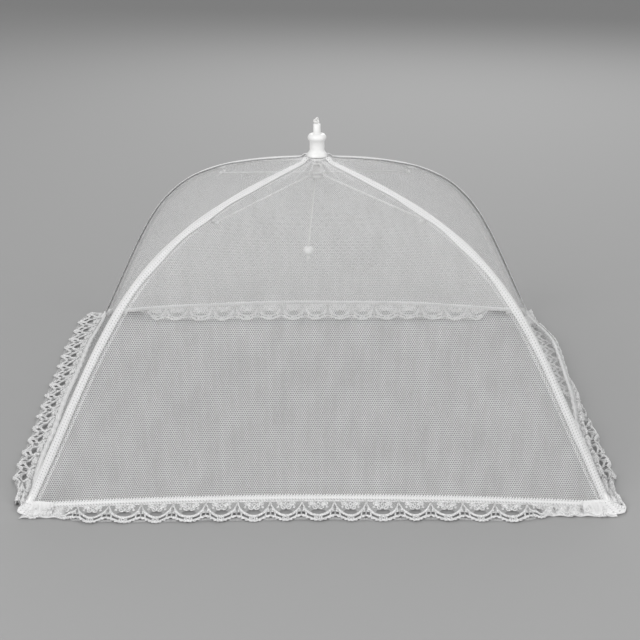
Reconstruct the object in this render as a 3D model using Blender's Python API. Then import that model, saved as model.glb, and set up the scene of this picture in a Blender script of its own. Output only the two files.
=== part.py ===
# A food cover that opens and folds like an umbrella. Four sprung ribs hinge on a moulded crown, four
# stretchers hinge on a runner whose tube plugs up into the crown, and a square net canopy with taped
# seams, a taped hem and a lace border is sewn over the ribs. A pull cord with a bead hangs from the
# runner. The base of the cover is at z = 0, and its middle is on the Z axis.
import math
from bisect import bisect_left

import bmesh
import bpy
from mathutils import Matrix, Vector
from mathutils.geometry import interpolate_bezier

mm = 0.001

# Gaps kept between pieces that touch
seat_gap = 0.3 * mm
running_gap = 0.3 * mm
cut_overrun = 1.0 * mm
weld_distance = 0.001 * mm

# Whole cover
half_span = 215.0 * mm
hinge_height = 213.5 * mm
rib_tip_height = 3.0 * mm
quarter_names = ("front_left", "front_right", "rear_right", "rear_left")
quarter_azimuths = (225.0, 315.0, 45.0, 135.0)
side_names = ("front", "right", "rear", "left")
side_turns = (0.0, 90.0, 180.0, 270.0)

# Ribs, from the eye on the crown ring to the tip
rib_diameter = 2.4 * mm
rib_crown_slope = 8.8
rib_tip_slope = 55.5
rib_crown_handle_share = 0.566
rib_tip_handle_share = 0.44
rib_points = 26
eye_wall = 0.7 * mm
eye_flat_share = 0.8

# Crown: a cap above the net and a slotted hub below it
hub_wall = 2.0 * mm
hub_depth = 4.6 * mm
hub_roof = 0.8 * mm
crown_ring_inset = 2.55 * mm
crown_ring_wire = 1.0 * mm
spigot_height = 9.6 * mm
spigot_wall = 0.95 * mm
cap_height = 18.7 * mm
skirt_overhang = 0.3 * mm
skirt_edge = 1.0 * mm
skirt_height = 5.2 * mm
neck_wall = 2.45 * mm
lip_overhang = 1.7 * mm
lip_height = 6.2 * mm
lip_roof = 2.0 * mm
flare_shares = ((1.0, 0.2), (0.75, 0.45), (0.4, 0.65), (0.12, 0.85), (0.0, 1.0))

# Runner: a flange for the stretchers, a tube that plugs into the crown, and a stub that shows above it
tube_radius = 3.75 * mm
stub_step = 0.7 * mm
stub_show = 8.3 * mm
flange_wall = 1.4 * mm
flange_height = 4.4 * mm
flange_drop = 11.0 * mm
runner_ring_inset = 1.75 * mm
runner_ring_wire = 0.9 * mm
foot_rim_wall = 1.05 * mm
foot_rim_height = 2.2 * mm
tube_wall = 1.05 * mm
stub_bore_radius = 1.25 * mm

# Stretchers and the clips that they meet on the ribs
stretcher_reach = 118.0 * mm
stretcher_diameter = 1.6 * mm
stretcher_eye_radius = 2.1 * mm
stretcher_knee_share = 0.08
rivet_radius = 0.7 * mm
rivet_head_radius = 1.6 * mm
rivet_head_height = 0.8 * mm
rivet_head_shares = ((1.0, 0.0), (0.85, 0.6), (0.45, 1.0), (0.0, 1.0))
clip_length = 9.0 * mm
clip_wall = 0.9 * mm
clip_boss_radius = 1.6 * mm
clip_boss_reach = 0.2 * mm
clip_lug_drop = 5.2 * mm
clip_lug_half_width = 0.9 * mm
clip_lug_half_length = 1.4 * mm

# Moulded caps on the rib tips
tip_cap_radius = 2.5 * mm
tip_cap_length = 12.0 * mm
tip_cap_grip = 8.0 * mm

# Cloth pockets sewn into the corners of the cover, which hold the rib tips
pocket_length = 16.5 * mm
pocket_wall = 0.8 * mm
pocket_mouth_rise = 1.5 * mm
pocket_mouth_share = 0.5

# Net, seam tape, hem tape and lace
net_clamp_grip = 2.4 * mm
net_shoulder = 1.0 * mm
net_knee_radius = 17.5 * mm
net_knee_drop_share = 0.65
net_join_radius = 25.0 * mm
net_thickness = 0.8 * mm
tape_thickness = 0.8 * mm
tape_half_width = 4.2 * mm
tape_crown_share = 0.7
tape_full_radius = 60.0 * mm
tape_crown_rise = 0.5 * mm
hem_width = 4.0 * mm
hem_thickness = 1.4 * mm
hem_corner_clearance = 7.0 * mm
panel_draw_in = 7.0 * mm
hem_draw_in = 4.0 * mm
hem_lifts = (4.5 * mm, 5.5 * mm, 10.5 * mm, 5.5 * mm)
lace_spread = 20.0 * mm
lace_thickness = 0.6 * mm
lace_wave_height = 2.4 * mm
lace_waves = 12
lace_corner_rounding = 7.0 * mm
lace_corner_power = 14
panel_rows = 15
panel_columns = 10
lace_columns = 48
lace_rows = 2

# Pull cord, bead and knots
cord_diameter = 1.6 * mm
cord_drop = 59.0 * mm
cord_drift = 6.0 * mm
cord_points = 21
cord_side_gap = 0.4 * mm
bead_radius = 4.6 * mm
bead_flat_share = 0.9
knot_radius = 2.0 * mm
end_knot_radius = 1.5 * mm
knot_lobe_share = 0.8
knot_lobe_place_shares = (0.35, 0.85)

round_sides = 24
small_sides = 12
fine_points = 200


def finish(name, colour, roughness, metallic=0.0, alpha=1.0):
    """A plain surface finish."""
    material = bpy.data.materials.new(name)
    material.use_nodes = True
    shader = material.node_tree.nodes["Principled BSDF"]
    shader.inputs["Base Color"].default_value = (*colour, 1.0)
    shader.inputs["Roughness"].default_value = roughness
    shader.inputs["Metallic"].default_value = metallic
    shader.inputs["Alpha"].default_value = alpha
    return material


def add_piece(name, mesh, material, parent=None, smooth=True):
    """Adds one piece of the cover to the scene."""
    if smooth:
        mesh.shade_smooth()
        mesh.set_sharp_from_angle(angle=math.radians(35.0))
    mesh.materials.clear()
    mesh.materials.append(material)
    piece = bpy.data.objects.new(name, mesh)
    bpy.context.scene.collection.objects.link(piece)
    piece.parent = parent
    return piece


def add_frame(name, place, azimuth, parent=None):
    """An empty on a joint: its X axis points outwards at the azimuth, and its Y axis is the hinge."""
    frame = bpy.data.objects.new(name, None)
    bpy.context.scene.collection.objects.link(frame)
    frame.location = place
    frame.rotation_euler = (0.0, 0.0, math.radians(azimuth))
    frame.parent = parent
    return frame


def turned_mesh(name, outline, sides, closed=True):
    """Turns an outline of (radius, height) points about the Z axis."""
    form = bmesh.new()
    corners = [form.verts.new((radius, 0.0, height)) for radius, height in outline]
    pairs = list(zip(corners, corners[1:]))
    if closed:
        pairs.append((corners[-1], corners[0]))
    edges = [form.edges.new(pair) for pair in pairs]
    bmesh.ops.spin(
        form,
        geom=corners + edges,
        cent=(0.0, 0.0, 0.0),
        axis=(0.0, 0.0, 1.0),
        angle=math.tau,
        steps=sides,
        use_duplicate=False,
    )
    bmesh.ops.remove_doubles(form, verts=form.verts, dist=weld_distance)
    bmesh.ops.recalc_face_normals(form, faces=form.faces)
    mesh = bpy.data.meshes.new(name)
    form.to_mesh(mesh)
    form.free()
    return mesh


def box_mesh(name, low, high):
    """A box between two corners."""
    form = bmesh.new()
    bmesh.ops.create_cube(form, size=1.0)
    size = Vector(high) - Vector(low)
    middle = (Vector(high) + Vector(low)) / 2.0
    bmesh.ops.scale(form, vec=size, verts=form.verts)
    bmesh.ops.translate(form, vec=middle, verts=form.verts)
    mesh = bpy.data.meshes.new(name)
    form.to_mesh(mesh)
    form.free()
    return mesh


def wire_mesh(name, points, diameter):
    """A round wire or cord along a line of points, as a mesh with closed ends."""
    curve = bpy.data.curves.new(name, "CURVE")
    curve.dimensions = "3D"
    curve.bevel_depth = diameter / 2.0
    curve.bevel_resolution = 2
    curve.use_fill_caps = True
    spline = curve.splines.new("POLY")
    spline.points.add(len(points) - 1)
    for spot, point in zip(spline.points, points):
        spot.co = (*point, 1.0)
    guide = bpy.data.objects.new(name, curve)
    mesh = bpy.data.meshes.new_from_object(guide)
    bpy.data.objects.remove(guide)
    form = bmesh.new()
    form.from_mesh(mesh)
    bmesh.ops.remove_doubles(form, verts=form.verts, dist=weld_distance)
    bmesh.ops.recalc_face_normals(form, faces=form.faces)
    form.to_mesh(mesh)
    form.free()
    return mesh


def sheet_mesh(name, rows):
    """A sheet of quads through rows of points, all of one length."""
    form = bmesh.new()
    grid = [[form.verts.new(point) for point in row] for row in rows]
    for upper, lower in zip(grid, grid[1:]):
        for left in range(len(upper) - 1):
            form.faces.new((upper[left], lower[left], lower[left + 1], upper[left + 1]))
    mesh = bpy.data.meshes.new(name)
    form.to_mesh(mesh)
    form.free()
    return mesh


def thicken(piece, thickness):
    """Gives a sheet its wall, half on each side."""
    wall = piece.modifiers.new("wall", "SOLIDIFY")
    wall.thickness = thickness
    wall.offset = 0.0
    wall.use_even_offset = True


def shape_with(piece, tool, operation):
    """Cuts a piece with another shape, or joins that shape to it."""
    step = piece.modifiers.new(tool.name, "BOOLEAN")
    step.operation = operation
    step.solver = "EXACT"
    step.object = tool


def add_tool(name, mesh, parent=None, turn=0.0):
    """A hidden shape that cuts or joins a piece."""
    tool = bpy.data.objects.new(name, mesh)
    bpy.context.scene.collection.objects.link(tool)
    tool.rotation_euler = (0.0, 0.0, math.radians(turn))
    tool.parent = parent
    tool.hide_render = True
    tool.display_type = "WIRE"
    return tool


def eye_mesh(name, hole_radius, outer_radius, wire):
    """A flat ring about the Y axis, as the end of a wire is stamped into an eye."""
    half = wire * eye_flat_share / 2.0
    outline = [(hole_radius, -half), (outer_radius, -half), (outer_radius, half), (hole_radius, half)]
    mesh = turned_mesh(name, outline, small_sides)
    mesh.transform(Matrix.Rotation(math.pi / 2.0, 4, "X"))
    return mesh


def ball_outline(radius, half_height, steps):
    """The outline of a ball or a flattened ball, from its top to its bottom."""
    outline = [(0.0, half_height)]
    for step in range(1, steps):
        angle = math.pi * (0.5 - step / steps)
        outline.append((radius * math.cos(angle), half_height * math.sin(angle)))
    outline.append((0.0, -half_height))
    return outline


white_plastic = finish("white_plastic", (0.86, 0.86, 0.85), 0.35)
coated_wire = finish("coated_wire", (0.78, 0.78, 0.78), 0.35, metallic=0.4)
net_cloth = finish("net_cloth", (0.88, 0.88, 0.88), 0.8, alpha=0.45)
tape_cloth = finish("tape_cloth", (0.9, 0.9, 0.9), 0.8)
lace_cloth = finish("lace_cloth", (0.85, 0.85, 0.85), 0.85, alpha=0.8)
cord_cloth = finish("cord_cloth", (0.85, 0.85, 0.85), 0.8)

# Heights and radii that follow from the driving sizes
crown_ring_radius = tube_radius + crown_ring_inset
hub_radius = crown_ring_radius + hub_wall
skirt_radius = hub_radius + skirt_overhang
neck_radius = tube_radius + neck_wall
lip_radius = neck_radius + lip_overhang
stub_radius = tube_radius - stub_step
tube_bore_radius = tube_radius - tube_wall
cord_start_offset = tube_bore_radius - cord_diameter / 2.0 - cord_side_gap
runner_ring_radius = tube_radius + runner_ring_inset
flange_radius = runner_ring_radius + flange_wall
flange_centre_height = hinge_height - flange_drop
foot_rim_radius = tube_radius + foot_rim_wall
rib_radius = rib_diameter / 2.0
tip_radius = half_span * math.sqrt(2.0)
rib_eye_radius = crown_ring_wire / 2.0 + running_gap + eye_wall
hub_roof_top = hinge_height + rib_eye_radius + running_gap + hub_roof
hub_bottom = hub_roof_top - hub_depth
net_clamp_height = hub_roof_top + seat_gap + net_thickness / 2.0
cap_bottom = net_clamp_height + net_thickness / 2.0 + seat_gap
cap_top = cap_bottom + cap_height
tube_hole_radius = tube_radius + running_gap
stub_hole_radius = stub_radius + running_gap
spigot_radius = tube_hole_radius + spigot_wall
socket_radius = spigot_radius + seat_gap
tube_shoulder_height = cap_top - lip_roof - seat_gap
stub_top = cap_top + stub_show
stretcher_inner_eye_radius = runner_ring_wire / 2.0 + running_gap + stretcher_diameter / 2.0 - seat_gap / 2.0
flange_top = flange_centre_height + flange_height / 2.0
flange_bottom = flange_centre_height - flange_height / 2.0
runner_foot = flange_bottom - foot_rim_height
clip_side = rib_radius + seat_gap + clip_wall + clip_boss_reach
tip_cap_flare = tip_cap_length - tip_cap_grip - tip_cap_radius
panel_seam_offset = (tape_half_width + seat_gap) * math.sqrt(2.0)
hem_top = lace_thickness + hem_width * math.sin(math.radians(rib_tip_slope)) + seat_gap * 3.0


def rib_line(count):
    """The middle line of a rib from hinge to tip, as (radius, height) points."""
    start = Vector((crown_ring_radius, hinge_height))
    end = Vector((tip_radius, rib_tip_height))
    chord = (end - start).length
    crown_angle = math.radians(rib_crown_slope)
    tip_angle = math.radians(rib_tip_slope)
    leave = Vector((math.cos(crown_angle), -math.sin(crown_angle))) * chord * rib_crown_handle_share
    arrive = Vector((-math.cos(tip_angle), math.sin(tip_angle))) * chord * rib_tip_handle_share
    return interpolate_bezier(start, start + leave, end + arrive, end, count)


def raised_line(line, distance):
    """A line moved outwards from the food space by a distance."""
    raised = []
    for place, point in enumerate(line):
        before = line[max(place - 1, 0)]
        after = line[min(place + 1, len(line) - 1)]
        along = (after - before).normalized()
        raised.append(point + Vector((-along.y, along.x)) * distance)
    return raised


def point_at_radius(line, radius):
    """The point of a line at a radius, and the line's direction there."""
    for inner, outer in zip(line, line[1:]):
        if outer.x >= radius:
            share = (radius - inner.x) / (outer.x - inner.x)
            return inner.lerp(outer, share), (outer - inner).normalized()
    return line[-1], (line[-1] - line[-2]).normalized()


def cover_line(count, lowest):
    """The line that the net follows from the crown's clamp, over a rib, down to a height."""
    lift = rib_radius + seat_gap + net_thickness / 2.0
    raised = raised_line(rib_line(fine_points), lift)
    kept = [point for point in raised if point.x > net_join_radius and point.y > lowest]
    knee_height = net_clamp_height + (kept[0].y - net_clamp_height) * net_knee_drop_share
    path = [Vector((net_knee_radius, knee_height))] + kept
    lengths = [0.0]
    for one, two in zip(path, path[1:]):
        lengths.append(lengths[-1] + (two - one).length)
    spaced = []
    for step in range(count):
        wanted = lengths[-1] * step / (count - 1)
        place = min(max(bisect_left(lengths, wanted), 1), len(path) - 1)
        share = (wanted - lengths[place - 1]) / (lengths[place] - lengths[place - 1])
        spaced.append(path[place - 1].lerp(path[place], share))
    shoulder = Vector((math.sqrt(2.0) * (skirt_radius + net_shoulder), net_clamp_height))
    return [shoulder] + spaced


def add_crown():
    """The cap, the slotted hub and the ring of wire that carries the rib eyes."""
    neck_top = cap_top - lip_height
    lip_round = lip_height / 2.0
    lip_points = []
    for step in range(7):
        angle = math.radians(-75.0 + 25.0 * step)
        radius = lip_radius - lip_round + lip_round * math.cos(angle)
        height = cap_top - lip_round + lip_round * math.sin(angle)
        lip_points.append((max(radius, neck_radius), height))
    flare = [
        (neck_radius + (skirt_radius - neck_radius) * out, cap_bottom + skirt_height * up)
        for out, up in flare_shares
    ]
    outline = [(socket_radius, cap_bottom), (skirt_radius, cap_bottom)] + flare
    outline += [(neck_radius, neck_top)] + lip_points
    outline += [
        (stub_hole_radius + skirt_edge, cap_top),
        (stub_hole_radius, cap_top - skirt_edge / 2.0),
        (stub_hole_radius, cap_top - lip_roof),
        (tube_hole_radius, cap_top - lip_roof),
        (tube_hole_radius, hub_roof_top + spigot_height + seat_gap),
        (socket_radius, hub_roof_top + spigot_height + seat_gap),
    ]
    add_piece("crown_cap", turned_mesh("crown_cap", outline, round_sides), white_plastic)

    groove_depth_radius = crown_ring_radius - crown_ring_wire / 2.0 - running_gap
    groove_top = hinge_height + crown_ring_wire / 2.0 + running_gap
    groove_bottom = hinge_height - crown_ring_wire / 2.0 - running_gap
    hub_outline = [
        (tube_hole_radius, hub_bottom),
        (hub_radius - skirt_edge / 2.0, hub_bottom),
        (hub_radius, hub_bottom + skirt_edge / 2.0),
        (hub_radius, groove_bottom),
        (groove_depth_radius, groove_bottom),
        (groove_depth_radius, groove_top),
        (hub_radius, groove_top),
        (hub_radius, hub_roof_top),
        (spigot_radius, hub_roof_top),
        (spigot_radius, hub_roof_top + spigot_height - skirt_edge / 2.0),
        (spigot_radius - skirt_edge / 4.0, hub_roof_top + spigot_height),
        (tube_hole_radius, hub_roof_top + spigot_height),
    ]
    hub = add_piece("crown_hub", turned_mesh("crown_hub", hub_outline, round_sides), white_plastic)
    slot_half = rib_radius + running_gap
    slot_start = crown_ring_radius - rib_eye_radius - running_gap
    slot_top = hub_roof_top - hub_roof
    for name, azimuth in zip(quarter_names, quarter_azimuths):
        low = (slot_start, -slot_half, hub_bottom - cut_overrun)
        high = (hub_radius + cut_overrun, slot_half, slot_top)
        slot = add_tool("hub_slot_" + name, box_mesh("hub_slot", low, high), turn=azimuth)
        shape_with(hub, slot, "DIFFERENCE")
    add_ring("crown_ring", crown_ring_radius, crown_ring_wire, hinge_height)


def add_ring(name, radius, wire, height):
    """A closed ring of wire about the Z axis."""
    outline = []
    for step in range(6):
        angle = math.tau * step / 6.0
        outline.append((radius + wire / 2.0 * math.cos(angle), height + wire / 2.0 * math.sin(angle)))
    add_piece(name, turned_mesh(name, outline, round_sides), coated_wire)


def add_runner():
    """The runner, its ring of wire, and the length of cord that its tube holds."""
    groove_depth_radius = runner_ring_radius - runner_ring_wire / 2.0 - running_gap
    groove_top = flange_centre_height + runner_ring_wire / 2.0 + running_gap
    groove_bottom = flange_centre_height - runner_ring_wire / 2.0 - running_gap
    bore_step = tube_shoulder_height - lip_roof
    edge = skirt_edge / 3.0
    outline = [
        (tube_bore_radius, runner_foot),
        (foot_rim_radius - edge, runner_foot),
        (foot_rim_radius, runner_foot + edge),
        (foot_rim_radius, flange_bottom),
        (flange_radius - edge, flange_bottom),
        (flange_radius, flange_bottom + edge),
        (flange_radius, groove_bottom),
        (groove_depth_radius, groove_bottom),
        (groove_depth_radius, groove_top),
        (flange_radius, groove_top),
        (flange_radius, flange_top - edge),
        (flange_radius - edge, flange_top),
        (tube_radius, flange_top),
        (tube_radius, tube_shoulder_height),
        (stub_radius, tube_shoulder_height),
        (stub_radius, stub_top - edge),
        (stub_radius - edge, stub_top),
        (stub_bore_radius, stub_top),
        (stub_bore_radius, bore_step),
        (tube_bore_radius, bore_step - tube_bore_radius),
    ]
    runner = add_piece("runner", turned_mesh("runner", outline, round_sides), white_plastic)
    slot_half = stretcher_diameter / 2.0 + running_gap
    slot_start = tube_radius + seat_gap / 2.0
    slot_floor = flange_centre_height - stretcher_inner_eye_radius - running_gap
    for name, azimuth in zip(quarter_names, quarter_azimuths):
        low = (slot_start, -slot_half, slot_floor)
        high = (flange_radius + cut_overrun, slot_half, flange_top + cut_overrun)
        slot = add_tool("runner_slot_" + name, box_mesh("runner_slot", low, high), turn=azimuth)
        shape_with(runner, slot, "DIFFERENCE")
    add_ring("runner_ring", runner_ring_radius, runner_ring_wire, flange_centre_height)


def add_rib(name, azimuth):
    """One rib with the eye on the crown ring, its stretcher clip and its tip cap."""
    hinge = Matrix.Rotation(math.radians(azimuth), 3, "Z") @ Vector((crown_ring_radius, 0.0, hinge_height))
    frame = add_frame("rib_hinge_" + name, hinge, azimuth)
    line = rib_line(rib_points)
    local = [Vector((point.x - crown_ring_radius, 0.0, point.y - hinge_height)) for point in line]
    hole_radius = crown_ring_wire / 2.0 + running_gap
    start = local[1].normalized() * (hole_radius + seat_gap)
    points = [start] + local[1:]
    rib = add_piece("rib_" + name, wire_mesh("rib", points, rib_diameter), coated_wire, frame)
    eye = add_tool("rib_eye_" + name, eye_mesh("rib_eye", hole_radius, rib_eye_radius, rib_diameter), frame)
    shape_with(rib, eye, "UNION")
    add_clip(name, frame, line)
    add_tip_cap(name, frame, line)


def clip_pivot(line):
    """The middle of a clip's rivet, on the lug below the rib."""
    place, along = point_at_radius(line, stretcher_reach)
    return place + Vector((along.y, -along.x)) * clip_lug_drop


def add_clip(name, frame, line):
    """The sleeve crimped on the rib, with the lug and boss that the stretcher's eye lies against."""
    place, along = point_at_radius(line, stretcher_reach)
    bore = rib_radius + seat_gap
    outer = bore + clip_wall
    half = clip_length / 2.0
    edge = clip_wall / 2.0
    outline = [
        (bore, -half),
        (outer - edge, -half),
        (outer, -half + edge),
        (outer, half - edge),
        (outer - edge, half),
        (bore, half),
    ]
    mesh = turned_mesh("rib_clip", outline, small_sides)
    turn = Matrix.Rotation(math.atan2(along.x, along.y), 4, "Y")
    mesh.transform(turn)
    shift = Vector((place.x - crown_ring_radius, 0.0, place.y - hinge_height))
    mesh.transform(Matrix.Translation(shift))
    clip = add_piece("rib_clip_" + name, mesh, white_plastic, frame)
    low = (-outer - cut_overrun, -outer - cut_overrun, -clip_length)
    high = (seat_gap - rib_radius, outer + cut_overrun, clip_length)
    opening_mesh = box_mesh("clip_opening", low, high)
    opening_mesh.transform(turn)
    opening_mesh.transform(Matrix.Translation(shift))
    shape_with(clip, add_tool("clip_opening_" + name, opening_mesh, frame), "DIFFERENCE")
    pivot = clip_pivot(line)
    centre = Vector((pivot.x - crown_ring_radius, 0.0, pivot.y - hinge_height))
    lug_start = bore + clip_wall / 3.0
    low = (lug_start, -clip_lug_half_width, -clip_lug_half_length)
    high = (clip_lug_drop, clip_lug_half_width, clip_lug_half_length)
    lug_mesh = box_mesh("clip_lug", low, high)
    lug_mesh.transform(turn)
    lug_mesh.transform(Matrix.Translation(shift))
    lug = add_tool("clip_lug_" + name, lug_mesh, frame)
    shape_with(clip, lug, "UNION")
    back = -clip_lug_half_width - clip_boss_reach
    boss_outline = [(0.0, back), (clip_boss_radius, back), (clip_boss_radius, clip_side), (0.0, clip_side)]
    boss_mesh = turned_mesh("clip_boss", boss_outline, small_sides, closed=False)
    boss_mesh.transform(Matrix.Rotation(-math.pi / 2.0, 4, "X"))
    boss_mesh.transform(Matrix.Translation(centre))
    boss = add_tool("clip_boss_" + name, boss_mesh, frame)
    shape_with(clip, boss, "UNION")


def add_tip_cap(name, frame, line):
    """The moulded cap pushed on the rib's tip, cut flat where it stands."""
    end = line[-1]
    along = (line[-1] - line[-2]).normalized()
    bore = rib_radius + seat_gap
    outline = [(0.0, seat_gap), (bore, seat_gap), (bore, -tip_cap_grip)]
    outline += [(tip_cap_radius - seat_gap, -tip_cap_grip), (tip_cap_radius, -tip_cap_grip + seat_gap)]
    dome = ball_outline(tip_cap_radius, tip_cap_radius, 8)[:5]
    outline += [(radius, tip_cap_flare + height) for radius, height in reversed(dome)]
    mesh = turned_mesh("tip_cap", outline, small_sides, closed=False)
    mesh.transform(Matrix.Rotation(math.atan2(along.x, along.y), 4, "Y"))
    mesh.transform(Matrix.Translation((end.x - crown_ring_radius, 0.0, end.y - hinge_height)))
    cap = add_piece("tip_cap_" + name, mesh, white_plastic, frame)
    low = (end.x - crown_ring_radius - tip_cap_length, -tip_cap_length, -hinge_height - tip_cap_length)
    high = (end.x - crown_ring_radius + tip_cap_length, tip_cap_length, -hinge_height)
    floor_cut = add_tool("tip_cut_" + name, box_mesh("tip_cut", low, high), frame)
    shape_with(cap, floor_cut, "DIFFERENCE")
    add_pocket(name, frame, end, along)


def add_pocket(name, frame, end, along):
    """The cloth pocket drawn over a tip cap, with its lower edge just above the table."""
    bore = tip_cap_radius + seat_gap
    outer = bore + pocket_wall
    mouth = -tip_cap_grip - pocket_mouth_rise
    mouth_radius = bore + pocket_wall * pocket_mouth_share
    foot = mouth + pocket_length
    outline = [(bore, foot), (bore, mouth), (mouth_radius, mouth)]
    outline += [(outer, mouth + pocket_mouth_rise), (outer, foot)]
    mesh = turned_mesh("corner_pocket", outline, small_sides)
    mesh.transform(Matrix.Rotation(math.atan2(along.x, along.y), 4, "Y"))
    mesh.transform(Matrix.Translation((end.x - crown_ring_radius, 0.0, end.y - hinge_height)))
    pocket = add_piece("corner_pocket_" + name, mesh, tape_cloth, frame)
    middle = end.x - crown_ring_radius
    low = (middle - pocket_length, -pocket_length, -hinge_height - pocket_length)
    high = (middle + pocket_length, pocket_length, seat_gap - hinge_height)
    floor_cut = add_tool("pocket_cut_" + name, box_mesh("pocket_cut", low, high), frame)
    shape_with(pocket, floor_cut, "DIFFERENCE")


def add_stretcher(name, azimuth):
    """One stretcher from its eye on the runner ring to the eye beside the rib's clip, and its rivet."""
    turn = Matrix.Rotation(math.radians(azimuth), 3, "Z")
    hinge = turn @ Vector((runner_ring_radius, 0.0, flange_centre_height))
    frame = add_frame("stretcher_hinge_" + name, hinge, azimuth)
    place = clip_pivot(rib_line(rib_points))
    outer_offset = clip_side + running_gap + clip_boss_reach + stretcher_diameter / 2.0
    far = Vector((place.x - runner_ring_radius, outer_offset, place.y - flange_centre_height))
    hole_radius = runner_ring_wire / 2.0 + running_gap
    near = far.normalized() * (hole_radius + seat_gap)
    rivet_hole = rivet_radius + seat_gap
    end = far - far.normalized() * (rivet_hole + seat_gap)
    first = Vector((near.x, 0.0, near.z))
    knee = Vector((far.x * stretcher_knee_share, 0.0, far.z * stretcher_knee_share))
    last = Vector((end.x, outer_offset, end.z))
    points = [first, knee, last]
    wire = wire_mesh("stretcher", points, stretcher_diameter)
    stretcher = add_piece("stretcher_" + name, wire, coated_wire, frame)
    inner = eye_mesh("runner_eye", hole_radius, stretcher_inner_eye_radius, stretcher_diameter)
    shape_with(stretcher, add_tool("runner_eye_" + name, inner, frame), "UNION")
    outer = eye_mesh("clip_eye", rivet_hole, stretcher_eye_radius, stretcher_diameter)
    outer.transform(Matrix.Translation((far.x, outer_offset, far.z)))
    shape_with(stretcher, add_tool("clip_eye_" + name, outer, frame), "UNION")

    half = stretcher_diameter / 2.0
    head_bottom = half + seat_gap
    outline = [(0.0, -half), (rivet_radius, -half), (rivet_radius, head_bottom)]
    outline += [
        (rivet_head_radius * out, head_bottom + rivet_head_height * up) for out, up in rivet_head_shares
    ]
    rivet = turned_mesh("rivet", outline, small_sides, closed=False)
    rivet.transform(Matrix.Rotation(-math.pi / 2.0, 4, "X"))
    rivet.transform(Matrix.Translation((far.x, outer_offset, far.z)))
    add_piece("rivet_" + name, rivet, coated_wire, frame)


def tape_half_width_at(radius):
    """Half the width of a seam tape at a radius: it is drawn in towards the crown."""
    out = min(radius / tape_full_radius, 1.0)
    return tape_half_width * (tape_crown_share + (1.0 - tape_crown_share) * out)


def panel_point(across, down, spot, lift):
    """A point of the front panel: across from -1 to 1, down from 0 at the crown to 1 at the hem."""
    middle = 1.0 - across * across
    half_width = spot.x / math.sqrt(2.0)
    seam_offset = (tape_half_width_at(spot.x) + seat_gap) * math.sqrt(2.0)
    drawn = panel_draw_in * math.sin(math.pi * down) + hem_draw_in * down**2
    raise_by = lift * down**5
    return Vector(
        (
            across * (half_width - seam_offset),
            -half_width + drawn * middle,
            spot.y + raise_by * middle,
        )
    )


def hem_edge(line, across, lift):
    """The net's lower edge and the way that it points there."""
    last = panel_point(across, 1.0, line[-1], lift)
    before = panel_point(across, 1.0 - 1.0 / panel_rows, line[-2], lift)
    return last, (last - before).normalized()


def add_side(name, turn, lift):
    """One side of the cover: its net panel, its hem tape and its lace."""
    spin = Matrix.Rotation(math.radians(turn), 4, "Z")
    clamped = Vector((math.sqrt(2.0) * (skirt_radius - net_clamp_grip), net_clamp_height))
    line = [clamped] + cover_line(panel_rows, hem_top)
    rows = []
    for place, spot in enumerate(line):
        down = max(place - 1, 0) / (len(line) - 2)
        row = []
        for column in range(panel_columns + 1):
            across = -1.0 + 2.0 * column / panel_columns
            row.append(panel_point(across, down, spot, lift))
        rows.append(row)
    mesh = sheet_mesh("canopy", rows)
    mesh.transform(spin)
    canopy = add_piece("canopy_" + name, mesh, net_cloth)
    thicken(canopy, net_thickness)

    last_half = line[-1].x / math.sqrt(2.0)
    hem_share = (last_half - hem_corner_clearance) / (last_half - panel_seam_offset)
    upper = []
    lower = []
    for column in range(panel_columns * 2 + 1):
        across = (-1.0 + column / panel_columns) * hem_share
        edge, way = hem_edge(line, max(-1.0, min(1.0, across)), lift)
        edge = Vector((across * (last_half - panel_seam_offset), edge.y, edge.z))
        way = Vector((0.0, way.y, way.z)).normalized()
        upper.append(edge + way * seat_gap)
        lower.append(edge + way * (seat_gap + hem_width))
    mesh = sheet_mesh("hem", [upper, lower])
    mesh.transform(spin)
    hem = add_piece("hem_" + name, mesh, tape_cloth)
    thicken(hem, hem_thickness)
    add_lace(name, spin, lower)


def add_lace(name, spin, hem_lower):
    """The lace that falls from the hem to the table and spreads there in shallow waves."""
    outer_half = -hem_lower[0].y + lace_spread
    start_half = hem_lower[-1].x
    rows = []
    for row in range(lace_rows + 1):
        out = row / lace_rows
        points = []
        for column in range(lace_columns + 1):
            along = -1.0 + 2.0 * column / lace_columns
            nearest = (along + 1.0) / 2.0 * (len(hem_lower) - 1)
            first = min(int(nearest), len(hem_lower) - 2)
            top = hem_lower[first].lerp(hem_lower[first + 1], nearest - first)
            corner = abs(along) ** lace_corner_power
            reach = outer_half - lace_corner_rounding * corner
            end_half = outer_half - lace_corner_rounding - seat_gap * 2.0
            side = along * (start_half + (end_half - start_half) * out)
            wave = 0.5 - 0.5 * math.cos(math.tau * lace_waves * (along + 1.0) / 2.0)
            falls = max(top.z - seat_gap - lace_thickness / 2.0, lace_thickness / 2.0)
            height = lace_thickness / 2.0 + (falls - lace_thickness / 2.0) * (1.0 - out) ** 2
            height += lace_wave_height * wave * out * (1.0 - corner)
            start_y = top.y - hem_thickness / 2.0
            points.append(Vector((side, start_y + (-reach - start_y) * out, height)))
        rows.append(points)
    mesh = sheet_mesh("lace", rows)
    mesh.transform(spin)
    lace = add_piece("lace_" + name, mesh, lace_cloth)
    thicken(lace, lace_thickness)


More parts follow.
